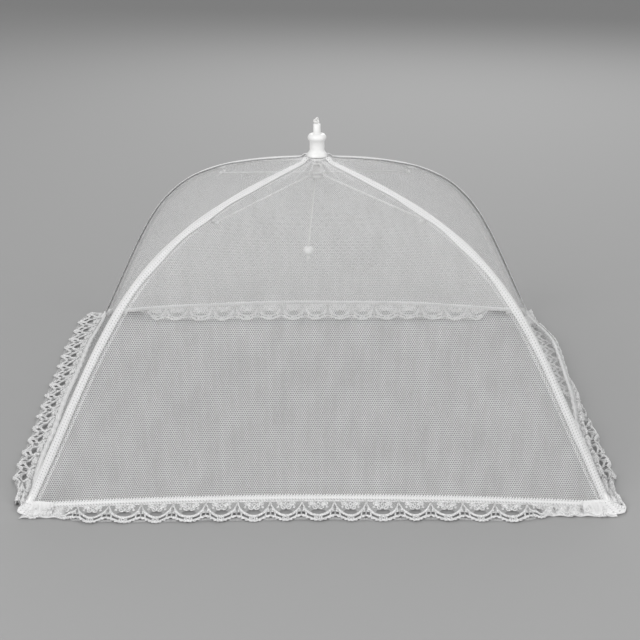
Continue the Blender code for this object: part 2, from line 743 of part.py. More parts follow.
def add_seam_tape(name, azimuth):
    """The tape sewn over one seam of the net, above the rib."""
    line = cover_line(panel_rows * 2, rib_tip_height + tip_cap_length)
    line = [Vector((skirt_radius - net_clamp_grip, net_clamp_height))] + line
    rows = []
    for spot in line:
        rise = tape_crown_rise if spot.x > net_join_radius else 0.0
        half = tape_half_width_at(spot.x)
        rows.append(
            [
                Vector((spot.x, -half, spot.y)),
                Vector((spot.x, 0.0, spot.y + rise)),
                Vector((spot.x, half, spot.y)),
            ]
        )
    mesh = sheet_mesh("seam_tape", rows)
    mesh.transform(Matrix.Rotation(math.radians(azimuth), 4, "Z"))
    tape = add_piece("seam_tape_" + name, mesh, tape_cloth)
    thicken(tape, tape_thickness)


def add_cord():
    """The pull cord: inside the tube, free below it, with its bead and the knots at both ends."""
    cord_top = stub_top
    bend = tube_shoulder_height - lip_roof - tube_bore_radius
    inside = [Vector((0.0, 0.0, cord_top)), Vector((0.0, 0.0, (cord_top + bend) / 2.0))]
    inside.append(Vector((0.0, 0.0, bend)))
    exit_point = Vector((-cord_start_offset, 0.0, runner_foot + seat_gap))
    for share in (0.4, 0.8, 1.0):
        inside.append(Vector((0.0, 0.0, bend)).lerp(exit_point, share))
    add_piece("cord_in_tube", wire_mesh("cord_in_tube", inside, cord_diameter), cord_cloth)

    start = Vector((-cord_start_offset, 0.0, runner_foot))
    free = []
    for step in range(cord_points):
        share = step / (cord_points - 1)
        free.append(start + Vector((-cord_drift * share, 0.0, -cord_drop * share)))
    add_piece("pull_cord", wire_mesh("pull_cord", free, cord_diameter), cord_cloth)

    bead_half_height = bead_radius * bead_flat_share
    bead_middle = free[-1] - Vector((0.0, 0.0, seat_gap + bead_half_height))
    bead = turned_mesh("bead", ball_outline(bead_radius, bead_half_height, 8), small_sides, closed=False)
    bead.transform(Matrix.Translation(bead_middle))
    add_piece("bead", bead, white_plastic)

    end_drop = bead_half_height + seat_gap + end_knot_radius
    add_knot("end_knot", bead_middle - Vector((0.0, 0.0, end_drop)), end_knot_radius)
    top_knot = add_knot("top_knot", Vector((0.0, 0.0, stub_top + seat_gap + knot_radius)), knot_radius)
    lobe_out, lobe_up = knot_lobe_place_shares
    lobe = turned_mesh("knot_lobe", ball_outline(knot_radius, knot_radius, 6), small_sides, closed=False)
    lobe.transform(Matrix.Scale(knot_lobe_share, 4))
    lobe_shift = Vector((knot_radius * lobe_out, 0.0, knot_radius * (1.0 + lobe_up)))
    lobe.transform(Matrix.Translation(Vector((0.0, 0.0, stub_top + seat_gap)) + lobe_shift))
    shape_with(top_knot, add_tool("knot_lobe", lobe), "UNION")


def add_knot(name, place, radius):
    """A knot pulled tight, as a rounded lump."""
    mesh = turned_mesh(name, ball_outline(radius, radius, 6), small_sides, closed=False)
    mesh.transform(Matrix.Translation(place))
    return add_piece(name, mesh, cord_cloth)


for leftover in list(bpy.data.objects):
    bpy.data.objects.remove(leftover, do_unlink=True)

add_crown()
add_runner()
add_cord()
for quarter, heading in zip(quarter_names, quarter_azimuths):
    add_rib(quarter, heading)
    add_stretcher(quarter, heading)
    add_seam_tape(quarter, heading)
for side, side_turn, side_lift in zip(side_names, side_turns, hem_lifts):
    add_side(side, side_turn, side_lift)
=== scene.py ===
import math

import bmesh
import bpy
import numpy as np
from mathutils import Matrix, Vector


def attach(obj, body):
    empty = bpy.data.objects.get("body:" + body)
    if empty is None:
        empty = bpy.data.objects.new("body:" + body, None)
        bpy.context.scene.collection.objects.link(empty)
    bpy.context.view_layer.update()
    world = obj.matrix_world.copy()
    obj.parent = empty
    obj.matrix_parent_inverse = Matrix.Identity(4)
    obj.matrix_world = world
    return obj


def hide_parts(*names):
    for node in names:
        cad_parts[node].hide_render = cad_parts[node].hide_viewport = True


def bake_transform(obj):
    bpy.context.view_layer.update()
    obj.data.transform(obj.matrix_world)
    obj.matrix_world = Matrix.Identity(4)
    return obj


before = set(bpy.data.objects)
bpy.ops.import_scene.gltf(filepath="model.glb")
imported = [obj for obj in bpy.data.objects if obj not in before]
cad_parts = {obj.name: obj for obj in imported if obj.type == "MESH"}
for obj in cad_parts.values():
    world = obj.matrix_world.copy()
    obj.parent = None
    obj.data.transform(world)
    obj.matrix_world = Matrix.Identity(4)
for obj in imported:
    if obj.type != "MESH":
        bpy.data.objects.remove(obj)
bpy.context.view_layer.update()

# Camera, floor and lamps. The camera stands where the four rib tips, the crown and the hem of the
# photograph put it: 1.15 m in front of the cover and 0.48 m above the table, looking 20 degrees down.


def placed(name, data):
    """Puts a mesh, a lamp or the camera in the scene as an object."""
    made = bpy.data.objects.new(name, data)
    bpy.context.scene.collection.objects.link(made)
    return made


def mesh_of(form, name):
    """A bmesh form as a mesh."""
    mesh = bpy.data.meshes.new(name)
    form.to_mesh(mesh)
    form.free()
    return mesh


view = bpy.data.cameras.new("camera")
view.lens = 78.95
view.sensor_width = 36.0
camera = placed("camera", view)
camera.location = (-0.0040, -1.1500, 0.4831)
camera.rotation_euler = (math.radians(70.318), 0.0, -0.00565)
bpy.context.scene.camera = camera
bpy.context.scene.view_settings.view_transform = "Standard"

floor_shade = 0.34
floor_size = 16.0
floor_form = bmesh.new()
bmesh.ops.create_grid(floor_form, x_segments=1, y_segments=1, size=floor_size / 2.0)
floor = placed("floor", mesh_of(floor_form, "floor"))
floor_finish = bpy.data.materials.new("floor_paper")
floor_finish.use_nodes = True
floor_shader = floor_finish.node_tree.nodes["Principled BSDF"]
floor_shader.inputs["Base Color"].default_value = (floor_shade, floor_shade, floor_shade, 1.0)
floor_shader.inputs["Roughness"].default_value = 0.9
floor.data.materials.append(floor_finish)

world_strength = 0.50
world = bpy.data.worlds.new("studio")
bpy.context.scene.world = world
world.use_nodes = True
world.node_tree.nodes["Background"].inputs["Color"].default_value = (1.0, 1.0, 1.0, 1.0)
world.node_tree.nodes["Background"].inputs["Strength"].default_value = world_strength
lamps_look_at = Vector((0.0, 0.0, 0.1))
for lamp_name, lamp_place, lamp_size, lamp_power in (
    ("lamp_front_left", (-1.2, -1.7, 1.25), 1.2, 29.5),
    ("lamp_front_right", (1.5, -1.4, 1.05), 1.2, 15.5),
    ("lamp_behind", (0.3, 1.6, 1.3), 1.4, 15.0),
):
    glow = bpy.data.lights.new(lamp_name, "AREA")
    glow.size = lamp_size
    glow.energy = lamp_power
    lamp = placed(lamp_name, glow)
    lamp.location = lamp_place
    lamp.rotation_euler = (lamps_look_at - lamp.location).to_track_quat("-Z", "Y").to_euler()

# Pull cord: a white cord of three twisted strands, 1.6 mm across. It is knotted above the runner's
# stub, runs down inside the tube, and hangs free for 59 mm from the tube's foot to the bead.
cord_radius = 0.0008
cord_at_knot = Vector((0.0, 0.0, 0.2445))
cord_in_stub = Vector((0.0, 0.0, 0.2330))
cord_exit = Vector((-0.0015, 0.0, 0.1981))
cord_end = Vector((-0.0075, 0.0, 0.1391))
strand_radius = 0.00043
strand_turn = 0.0042
strand_turn_steps = 10.0
fewest_cord_steps = 12


class Pattern:
    """What changes over a surface or comes from a node, held as the socket that gives it."""

    def __init__(self, tree, socket=None):
        self.tree = tree
        self.socket = socket

    def node(self, kind, settings, values, output=0):
        """Adds a node: its settings first, then the value or link of each socket."""
        made = self.tree.nodes.new(kind)
        for name, value in settings.items():
            setattr(made, name, value)
        for key, value in values.items():
            if isinstance(value, Pattern):
                self.tree.links.new(value.socket, made.inputs[key])
            else:
                made.inputs[key].default_value = value
        return Pattern(self.tree, made.outputs[output])

    def maths(self, operation, *others):
        values = dict(enumerate((self,) + others))
        return self.node("ShaderNodeMath", {"operation": operation}, values)

    def __add__(self, other):
        return self.maths("ADD", other)

    def __sub__(self, other):
        return self.maths("SUBTRACT", other)

    def __mul__(self, other):
        return self.maths("MULTIPLY", other)

    def __truediv__(self, other):
        return self.maths("DIVIDE", other)

    def __rsub__(self, other):
        return (self * -1.0) + other

    def __abs__(self):
        return self.maths("ABSOLUTE")

    __radd__ = __add__
    __rmul__ = __mul__

    def split(self, count):
        """The first parts of a place: across, along and up."""
        made = self.node("ShaderNodeSeparateXYZ", {}, {"Vector": self}).socket.node
        return [Pattern(self.tree, made.outputs[part]) for part in range(count)]

    def between(self, low, high):
        """0 below one value, 1 above another, and a soft step between them."""
        values = {"Value": self, "From Min": low, "From Max": high}
        return self.node("ShaderNodeMapRange", {"interpolation_type": "SMOOTHSTEP"}, values)


def new_finish(name, colour, roughness):
    """A material with its shader, and a Pattern to start its surface pattern from."""
    made = bpy.data.materials.new(name)
    made.use_nodes = True
    shader = made.node_tree.nodes["Principled BSDF"]
    shader.inputs["Base Color"].default_value = (*colour, 1.0)
    shader.inputs["Roughness"].default_value = roughness
    return made, shader, Pattern(made.node_tree)


def drive(shader, socket, pattern):
    """Links a pattern to one of a shader's sockets."""
    pattern.tree.links.new(pattern.socket, shader.inputs[socket])


def raise_by(shader, pattern, height):
    """Raises and sinks a surface by a pattern, through a bump."""
    drive(shader, "Normal", pattern.node("ShaderNodeBump", {}, {"Height": pattern, "Distance": height}))


def shade(shader, pattern, dark, light):
    """Runs a surface's colour from a dark one to a light one as the pattern goes from 0 to 1."""
    values = {"Factor": pattern, 6: (*dark, 1.0), 7: (*light, 1.0)}
    drive(shader, "Base Color", pattern.node("ShaderNodeMix", {"data_type": "RGBA"}, values, output=2))


def object_place(start):
    """Where a point lies on the object, for a pattern that doesn't follow cloth."""
    return start.node("ShaderNodeTexCoord", {}, {}, output=3)


def cloud(place, scale, detail=2.0):
    """A soft, random pattern, finer as the scale goes up."""
    return place.node("ShaderNodeTexNoise", {}, {"Vector": place, "Scale": scale, "Detail": detail})


def unit(ways):
    """Directions, each brought to a length of one."""
    return ways / np.linalg.norm(ways, axis=-1, keepdims=True)


def lengths_along(line):
    """The length down a line from its first point to each of its points."""
    return np.concatenate([[0.0], np.cumsum(np.linalg.norm(np.diff(line, axis=0), axis=1))])


def beside(line, distance, turns):
    """A line moved sideways by a distance, at a turn about its own direction for each point."""
    ways = unit(np.gradient(line, axis=0))
    side = np.cross(ways[0], (0.31, 0.83, 0.45))
    moved = []
    for point, way, turn in zip(line, ways, turns):
        side = unit(side - way * np.dot(side, way))
        moved.append(point + distance * (math.cos(turn) * side + math.sin(turn) * np.cross(way, side)))
    return np.array(moved)


def join_rings(form, rings, closed=False):
    """Faces between rings of corners, and over both ends unless the row of rings is closed."""
    for one, two in list(zip(rings, rings[1:])) + [(rings[-1], rings[0])] * closed:
        for corner in range(len(one)):
            after = (corner + 1) % len(one)
            form.faces.new((one[corner], one[after], two[after], two[corner]))
    if not closed:
        form.faces.new(list(reversed(rings[0])))
        form.faces.new(rings[-1])


def finished(mesh, finish):
    """Puts a mesh in the scene under its own name, as a smooth-shaded piece with its finish."""
    mesh.shade_smooth()
    mesh.materials.append(finish)
    return placed(mesh.name, mesh)


def carried(piece, body, node):
    """Lets a piece ride on a body in place of a CAD node, which is hidden."""
    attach(piece, body)
    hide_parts(node)


def twisted_cord(node, line, sides=8):
    """Three strands laid round each other along a line, in place of one of the runner's nodes."""
    line = np.array(line)
    lengths = lengths_along(line)
    count = max(int(lengths[-1] / (strand_turn / strand_turn_steps)), fewest_cord_steps)
    even = np.linspace(0.0, lengths[-1], count)
    smooth = np.stack([np.interp(even, lengths, line[:, axis]) for axis in range(3)], axis=1)
    form = bmesh.new()
    for place in range(3):
        turns = math.tau * (even / strand_turn + place / 3.0)
        strand = beside(smooth, cord_radius - strand_radius, turns)
        turns = [[math.tau * corner / sides] * count for corner in range(sides)]
        corners = [beside(strand, strand_radius, turn) for turn in turns]
        join_rings(form, [[form.verts.new(spot) for spot in ring] for ring in np.stack(corners, axis=1)])
    bmesh.ops.recalc_face_normals(form, faces=form.faces)
    cord = finished(mesh_of(form, node + "_strands"), cord_finish)
    carried(cord, "runner", node)
    return cord


cord_finish, cord_shader, cord_start = new_finish("twisted_cord", (0.84, 0.84, 0.83), 0.75)
cord_fuzz = cloud(object_place(cord_start), 2600.0, 3.0)
shade(cord_shader, cord_fuzz.between(0.3, 0.75), (0.7, 0.7, 0.69), (0.92, 0.92, 0.91))
raise_by(cord_shader, cord_fuzz, 0.0001)

hanging_line = [cord_exit.lerp(cord_end, step / 20.0) for step in range(21)]
pull_cord = twisted_cord("pull_cord", hanging_line)
twisted_cord("cord_in_tube", [cord_at_knot, cord_in_stub, cord_exit])

# Bead: a turned white plastic bead, 9 mm across, that is pulled to let the runner go. The cord
# passes through its bore and is knotted below it.
bead_radius = 0.0046
bead_half_height = 0.00414
bead_bore = 0.0011
bore_chamfer = 0.0002
bore_chamfer_depth = 0.0006
bead_top = cord_end.z - 0.0003


def turned_piece(name, outline, finish, sides=48):
    """Turns a closed outline of (radius, height) points about the Z axis."""
    form = bmesh.new()
    corners = [form.verts.new((radius, 0.0, height)) for radius, height in outline]
    edges = [form.edges.new(pair) for pair in zip(corners, corners[1:] + corners[:1])]
    turn = {"cent": (0.0, 0.0, 0.0), "axis": (0.0, 0.0, 1.0), "angle": math.tau, "steps": sides}
    bmesh.ops.spin(form, geom=corners + edges, **turn)
    bmesh.ops.remove_doubles(form, verts=form.verts, dist=0.000002)
    bmesh.ops.recalc_face_normals(form, faces=form.faces)
    piece = finished(mesh_of(form, name), finish)
    piece.data.set_sharp_from_angle(angle=math.radians(50.0))
    return piece


moulding_finish, moulding_shader, moulding_start = new_finish("white_moulding", (0.86, 0.86, 0.85), 0.34)
moulding_cloud = cloud(object_place(moulding_start), 90.0, 4.0)
moulding_grain = cloud(object_place(moulding_start), 1500.0)
shade(moulding_shader, moulding_cloud.between(0.3, 0.7), (0.8, 0.8, 0.79), (0.9, 0.9, 0.895))
drive(moulding_shader, "Roughness", moulding_cloud * 0.2 + 0.26)
raise_by(moulding_shader, moulding_grain, 0.00003)

bead_outline = []
for step in range(25):
    turn = math.pi * (0.5 - step / 24.0)
    reach = bead_radius * math.cos(turn)
    if reach > bead_bore + 1.5 * bore_chamfer:
        bead_outline.append((reach, bead_half_height * math.sin(turn)))
bead_rim = bead_outline[0][1]
bead_outline = (
    [(bead_bore, bead_rim - bore_chamfer_depth), (bead_bore + bore_chamfer, bead_rim)]
    + bead_outline
    + [(bead_bore + bore_chamfer, -bead_rim), (bead_bore, -bead_rim + bore_chamfer_depth)]
)
bead = turned_piece("bead_turned", bead_outline, moulding_finish)
bead.data.transform(Matrix.Translation((cord_end.x, 0.0, bead_top - bead_half_height)))
carried(bead, "runner", "bead")

# Knots: the cord is tied in a pulled-tight overhand knot above the stub, so that it can't slip
# down, and in a smaller one below the bead. Each knot ends in a short cut tail.
top_knot_size = 0.00070
end_knot_size = 0.00045
top_knot_centre = Vector((-0.0003, 0.0, 0.2472))
end_knot_centre = Vector((cord_end.x, 0.0, bead_top - 2.0 * bead_half_height - 0.0019))


def knot_line(centre, size, lean, first_end, last_end):
    """An overhand knot pulled tight: from the first end, round its three lobes, to the last end."""
    line = [centre + Vector(first_end)]
    for step in range(61):
        turn = math.pi + 0.12 + (math.tau - 0.24) * step / 60.0
        across = math.sin(turn) + 2.0 * math.sin(2.0 * turn)
        up = math.cos(turn) - 2.0 * math.cos(2.0 * turn)
        spot = (
            across * math.cos(lean) - up * math.sin(lean),
            1.3 * math.sin(3.0 * turn),
            across * math.sin(lean) + up * math.cos(lean),
        )
        line.append(centre + Vector(spot) * size)
    line.append(centre + Vector(last_end))
    return line


top_knot_ends = ((0.0003, 0.0, -0.0028), (0.0021, 0.0004, -0.0010))
end_knot_ends = ((0.0, 0.0, 0.0020), (-0.0006, 0.0, -0.0030))
top_knot_line = knot_line(top_knot_centre, top_knot_size, 0.8, *top_knot_ends)
twisted_cord("top_knot", top_knot_line)
end_knot_line = knot_line(end_knot_centre, end_knot_size, -0.5, *end_knot_ends)
end_knot = twisted_cord("end_knot", end_knot_line)

# Crown, runner, ribs and stretchers: cap, hub, runner, rib clips and tip caps are injection-moulded
# white plastic; ribs, stretchers, rings and rivets are white-coated steel wire. Each keeps its CAD
# shape; a merged copy of the node is shaded smooth where it is round.
wire_finish, wire_shader, wire_start = new_finish("coated_wire", (0.78, 0.78, 0.78), 0.32)
wire_wear = cloud(object_place(wire_start), 260.0, 5.0)
shade(wire_shader, wire_wear.between(0.35, 0.7), (0.7, 0.7, 0.7), (0.84, 0.84, 0.84))
drive(wire_shader, "Roughness", wire_wear * 0.3 + 0.2)
raise_by(wire_shader, wire_wear, 0.00004)


def smooth_copy(node, finish, body):
    """A CAD node's own shape, merged and shaded smooth, in place of the node."""
    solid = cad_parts[node]
    form = bmesh.new()
    form.from_mesh(solid.data)
    bmesh.ops.transform(form, matrix=solid.matrix_world, verts=form.verts)
    bmesh.ops.remove_doubles(form, verts=form.verts, dist=0.000005)
    piece = finished(mesh_of(form, node + "_shown"), finish)
    piece.data.set_sharp_from_angle(angle=math.radians(38.0))
    carried(piece, body, node)


quarters = ("front_left", "front_right", "rear_right", "rear_left")
for node, body in (("crown_cap", "crown"), ("crown_hub", "crown"), ("runner", "runner")):
    smooth_copy(node, moulding_finish, body)
for node, body in (("crown_ring", "crown"), ("runner_ring", "runner")):
    smooth_copy(node, wire_finish, body)
for quarter in quarters:
    smooth_copy("rib_" + quarter, wire_finish, "rib_" + quarter)
    smooth_copy("rib_clip_" + quarter, moulding_finish, "rib_" + quarter)
    smooth_copy("tip_cap_" + quarter, moulding_finish, "rib_" + quarter)
    smooth_copy("stretcher_" + quarter, wire_finish, "stretcher_" + quarter)
    smooth_copy("rivet_" + quarter, wire_finish, "stretcher_" + quarter)

# Net: four panels of fine white hexagonal net, each stretched between two ribs and clamped under
# the crown's cap. Each is drawn here as two halves that meet on the panel's middle line, because
# as the cover folds each half swings in with its own rib.
hinge_height = 0.2135
hinge = Vector((0.0063, hinge_height))
rib_tip = Vector((0.215 * math.sqrt(2.0), 0.0030))
rib_crown_turn = math.radians(8.8)
rib_tip_turn = math.radians(55.5)
rib_crown_pull = 0.566
rib_tip_pull = 0.44
net_above_rib = 0.0016
clamp_line = [(0.0088, 0.2168), (0.0136, 0.2168), (0.0175, 0.2139)]
net_foot = 0.0048
draw_in = 0.0070
draw_in_foot = 0.0040
draw_in_starts = 0.012
hem_lifts = (0.0045, 0.0055, 0.0120, 0.0055)
hem_straight = (0.0,) * 5
hem_out_right = (0.0, 0.0010, 0.0110, 0.0150, 0.0)
hem_outs = (hem_straight, hem_out_right, hem_straight, (0.0, 0.0040, 0.0055, 0.0040, 0.0))
net_cell = 0.0017
net_thread_share = 0.066
net_rows = 90
net_columns = 64
seam_allowance = 0.0085
pleat_places = (0.22, 0.47, 0.61, 0.72, 0.81, 0.89)
pleat_lengths = (0.035, 0.060, 0.040, 0.085, 0.055, 0.110)
pleat_half_width = 0.0011
slack_depth = 0.0009
gather_depth = 0.0011
gather_reach = 0.045
wave_depth = 0.00035
streaks_per_metre = (95.0, 34.0)
under_layer_shift = (0.37, 0.21)
fold_start = 0.009
fold_end = 0.025
side_names = ("front", "right", "rear", "left")


def rib_points(count):
    """The middle line of a rib from its hinge to its tip, as radius and height."""
    chord = (rib_tip - hinge).length
    first = Vector((math.cos(rib_crown_turn), -math.sin(rib_crown_turn)))
    first = hinge + first * chord * rib_crown_pull
    second = Vector((-math.cos(rib_tip_turn), math.sin(rib_tip_turn)))
    second = rib_tip + second * chord * rib_tip_pull
    share = np.linspace(0.0, 1.0, count)[:, None]
    rest = 1.0 - share
    line = rest**3 * hinge + 3 * rest**2 * share * first
    return np.array(line + 3 * rest * share**2 * second + share**3 * rib_tip)


def cover_curve():
    """Radius and height down the net's line over a rib, from the crown's clamp to the hem."""
    line = rib_points(400)
    along = unit(np.gradient(line, axis=0))
    raised = line + np.stack([-along[:, 1], along[:, 0]], axis=1) * net_above_rib
    raised = raised[(raised[:, 0] > 0.025) & (raised[:, 1] > 0.0005)]
    return np.concatenate([np.array(clamp_line), raised])


cover = cover_curve()


def cover_height(radius):
    """Height of the net's line over a rib at a distance from the Z axis."""
    return np.interp(radius, cover[:, 0], cover[:, 1])


def soft_step(value):
    """0 below 0, 1 above 1, and smooth between."""
    value = np.clip(value, 0.0, 1.0)
    return value * value * (3.0 - 2.0 * value)


panel_line = cover[cover[:, 1] >= net_foot]
panel_lengths = lengths_along(panel_line / (math.sqrt(2.0), 1.0))
panel_length = panel_lengths[-1]


def hem_out(across, side):
    """How far the hem of one side stands out from where it would hang, across from -1 to 1."""
    spot = (np.clip(across, -1.0, 1.0) + 1.0) * 2.0
    lower = np.minimum(spot.astype(int), 3)
    outs = np.array(hem_outs[side])
    return outs[lower] + (outs[lower + 1] - outs[lower]) * soft_step(spot - lower)


def panel_points(across, down, side):
    """Points of a panel seen from its own side, across from -1 to 1 and down from 0 at the crown to 1."""
    length = down * panel_length
    radius = np.interp(length, panel_lengths, panel_line[:, 0])
    height = np.interp(length, panel_lengths, panel_line[:, 1])
    half_width = radius / math.sqrt(2.0)
    middle = 1.0 - across**2
    started = np.clip((length - draw_in_starts) / (panel_length - draw_in_starts), 0.0, 1.0)
    drawn = draw_in * np.sin(math.pi * started) + draw_in_foot * started**2
    drawn = drawn * middle - hem_out(across, side) * started**9
    raised = hem_lifts[side] * started**5 * middle
    slack = slack_depth * np.sin(across * 7.0 + down * 5.0) * np.sin(down * 9.0 + across * 3.0)
    gather = gather_depth * np.cos(across * math.pi * 9.0) * np.exp(-length / gather_reach)
    gather *= soft_step(length / 0.015)
    waves = np.sin(across * half_width / 0.0022 + 2.0 * np.sin(length / 0.021 + side))
    waves = wave_depth * waves * np.sin(length / 0.017 + across * 4.0)
    puff = ((slack + waves) * started + gather) * middle
    out = -half_width + drawn - puff
    return np.stack([across * half_width, out, height + raised + puff * 0.4], axis=-1)


def turned(points, side):
    """Points of the front side, turned to one of the four sides."""
    turn = math.radians(90.0 * side)
    cosine, sine = math.cos(turn), math.sin(turn)
    return points @ np.array([[cosine, sine, 0.0], [-sine, cosine, 0.0], [0.0, 0.0, 1.0]])


def panel_halves():
    """Side, its name, hand (-1 or 1) and the rib's quarter, for each half of each panel."""
    for side, side_name in enumerate(side_names):
        for hand in (-1.0, 1.0):
            yield side, side_name, hand, quarters[(side + (hand > 0.0)) % 4]


def half_across(hand, count):
    """Even places over half a panel: from -1 at one seam to 0 in the middle, or from 0 to 1."""
    return np.linspace(min(hand, 0.0), max(hand, 0.0), count + 1)


def corner_values(mesh, values):
    """Pairs of values that belong to a mesh's points, given for each corner of its faces."""
    loop_points = np.empty(len(mesh.loops), np.int32)
    mesh.loops.foreach_get("vertex_index", loop_points)
    return np.stack(values, axis=-1).reshape(-1, 2)[loop_points].astype(np.float32).ravel()


def cloth_grid(down, across):
    """Grids of the places down and across a cloth, rows by columns."""
    return np.meshgrid(down, across, indexing="ij")


def cloth_piece(name, points, places, finish):
    """A smooth sheet through a grid of points, rows by columns, with the places as its UV map."""
    rows, columns = points.shape[:2]
    mesh = bpy.data.meshes.new(name)
    index = np.arange(rows * columns).reshape(rows, columns)
    quads = np.stack([index[:-1, :-1], index[1:, :-1], index[1:, 1:], index[:-1, 1:]], axis=-1)
    mesh.from_pydata(points.reshape(-1, 3).tolist(), [], quads.reshape(-1, 4).tolist())
    mesh.uv_layers.new(name="UVMap").data.foreach_set("uv", corner_values(mesh, places))
    return finished(mesh, finish)


def keep_on_points(piece, name, values):
    """Keeps a value for each of a piece's points, for its material to read."""
    layer = piece.data.attributes.new(name, "FLOAT", "POINT")
    layer.data.foreach_set("value", values.astype(np.float32).ravel())


def fold_with_rib(piece):
    """Bakes a cloth piece's placement into its mesh, and works out a share for each point that runs from 0
    on a panel's middle line and near the crown to 1 at its seam. The share is worked out point by point,
    because the middle line runs through the crown, so no single start and end can give it at every height.
    It is not kept."""
    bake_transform(piece)
    points = np.empty(len(piece.data.vertices) * 3, np.float32)
    piece.data.vertices.foreach_get("co", points)
    points = np.abs(points.reshape(-1, 3)[:, :2])
    across = points.min(axis=1) / np.maximum(points.max(axis=1), 1e-6)
    out = soft_step((np.hypot(points[:, 0], points[:, 1]) - fold_start) / (fold_end - fold_start))
    (across * out).astype(np.float32)


def hexagon_reach(across, up):
    """How far a point lies from the middle of its hexagonal cell, 0.5 at the cell's edge."""
    tall = math.sqrt(3.0)
    reaches = []
    for shift in (0.0, 0.5):
        side = abs((across + shift).maths("FRACT") - 0.5)
        rise = abs((up / tall + shift).maths("FRACT") - 0.5) * tall
        reaches.append(side.maths("MAXIMUM", side * 0.5 + rise * (tall / 2.0)))
    return reaches[0].maths("MINIMUM", reaches[1])


def cloth_place(start):
    """How far across and down its cloth a point lies, from the UV map."""
    return start.node("ShaderNodeUVMap", {"uv_map": "UVMap"}, {}).split(2)


def kept_value(start, name):
    """A value that was kept on the piece's points."""
    return start.node("ShaderNodeAttribute", {"attribute_name": name}, {}, output=2)


net_finish, net_shader, net_start = new_finish("hexagonal_net", (0.92, 0.92, 0.92), 0.55)
net_shader.inputs["Sheen Weight"].default_value = 0.8
net_across, net_down = cloth_place(net_start)
net_reach = hexagon_reach(net_across / net_cell, net_down / net_cell)
net_slant = {"X": net_across * streaks_per_metre[0], "Y": net_down * streaks_per_metre[1]}
net_streaks = cloud(net_start.node("ShaderNodeCombineXYZ", {}, net_slant), 1.0, 3.0)
under_reach = hexagon_reach(
    net_down / net_cell + under_layer_shift[0], net_across / net_cell + under_layer_shift[1]
)
on_seam = kept_value(net_start, "from_seam")
on_seam = 1.0 - on_seam.between(seam_allowance - 0.0006, seam_allowance + 0.0006)
doubled = on_seam.maths("MAXIMUM", kept_value(net_start, "pleated"))
net_edge = 0.5 - net_thread_share
net_threads = (net_reach + net_streaks * 0.06 - 0.03).between(net_edge - 0.04, net_edge + 0.02)
under_threads = under_reach.between(net_edge - 0.05, net_edge + 0.02) * doubled
drive(net_shader, "Alpha", net_threads.maths("MAXIMUM", under_threads))
raise_by(net_shader, net_reach.between(net_edge, 0.5), 0.0001)

for side, side_name, hand, quarter in panel_halves():
    rows = np.linspace(0.0, 1.0, net_rows + 1)
    down_grid, across_grid = cloth_grid(rows, half_across(hand, net_columns))
    length = down_grid * panel_length
    half_width = np.interp(length, panel_lengths, panel_line[:, 0]) / math.sqrt(2.0)
    points = turned(panel_points(across_grid, down_grid, side), side)
    places = (across_grid * half_width, -length)
    piece = cloth_piece("net_" + side_name + "_" + quarter, points, places, net_finish)
    pleat = np.zeros_like(half_width)
    for pleat_place, pleat_length in zip(pleat_places, pleat_lengths):
        away = np.abs(np.abs(across_grid) - pleat_place) * half_width / pleat_half_width
        pleat = np.maximum(pleat, soft_step(1.4 - away) * soft_step(1.2 - length / pleat_length))
    keep_on_points(piece, "from_seam", (1.0 - np.abs(across_grid)) * half_width)
    keep_on_points(piece, "pleated", pleat)
    fold_with_rib(piece)
    if hand < 0:
        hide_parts("canopy_" + side_name)

# Seam tape: white cotton tape, 8 mm wide, sewn over each seam of the net along both of its edges, so
# that it makes the sleeve that the rib lies in. The stitches draw its edges in, and it is gathered
# narrower near the crown.
tape_half_width = 0.0042
tape_crown_share = 0.46
tape_full_radius = 0.070
tape_lift = 0.0006
tape_fold = 0.0013
tape_rows = 900
tape_columns = 20
tape_wall = 0.0005
thread_radius = 0.0003
stitch_pitch = 0.0022
stitch_draw = 0.00034
weave_pitch = 0.0011
needle_rows = (0.0012, 0.0031)
tape_starts = 0.0095
tape_stops_before = 0.0015
tape_clearance = 0.0004
tape_uneven = 0.13
tape_uneven_pitch = 0.050
pucker_depth = 0.00022
ruffle_depth = 0.0004
rib_groove = {"front_right": 0.00075}
rib_groove_side = 0.0005


def ridge_points(radius, sideways, lift):
    """Points of the front-right ridge: out along it, to its side, and lifted above the net."""
    folded = radius + np.sqrt(sideways**2 + tape_fold**2) - tape_fold
    height = cover_height(folded)
    step = 0.001
    slope = (cover_height(radius + step) - cover_height(radius - step)) / (2.0 * step)
    steep = np.hypot(1.0, slope)
    out = radius - slope / steep * lift
    up = np.maximum(height + lift / steep, tape_clearance)
    return np.stack([(sideways + out) * math.sqrt(0.5), (sideways - out) * math.sqrt(0.5), up], axis=-1)


def gathered_width(radius, place):
    """Half the tape's width: drawn in near the crown, and uneven where it was stretched in sewing."""
    stretched = np.cos(math.tau * (radius - 0.125) / tape_uneven_pitch + 1.7 * place)
    uneven = tape_uneven * stretched * soft_step((radius - 0.06) / 0.03)
    uneven *= 1.0 - 0.7 * soft_step((radius - 0.19) / 0.04)
    crown_share = 1.0 - (1.0 - tape_crown_share) * (1.0 - soft_step(radius / tape_full_radius))
    return tape_half_width * (crown_share + uneven)


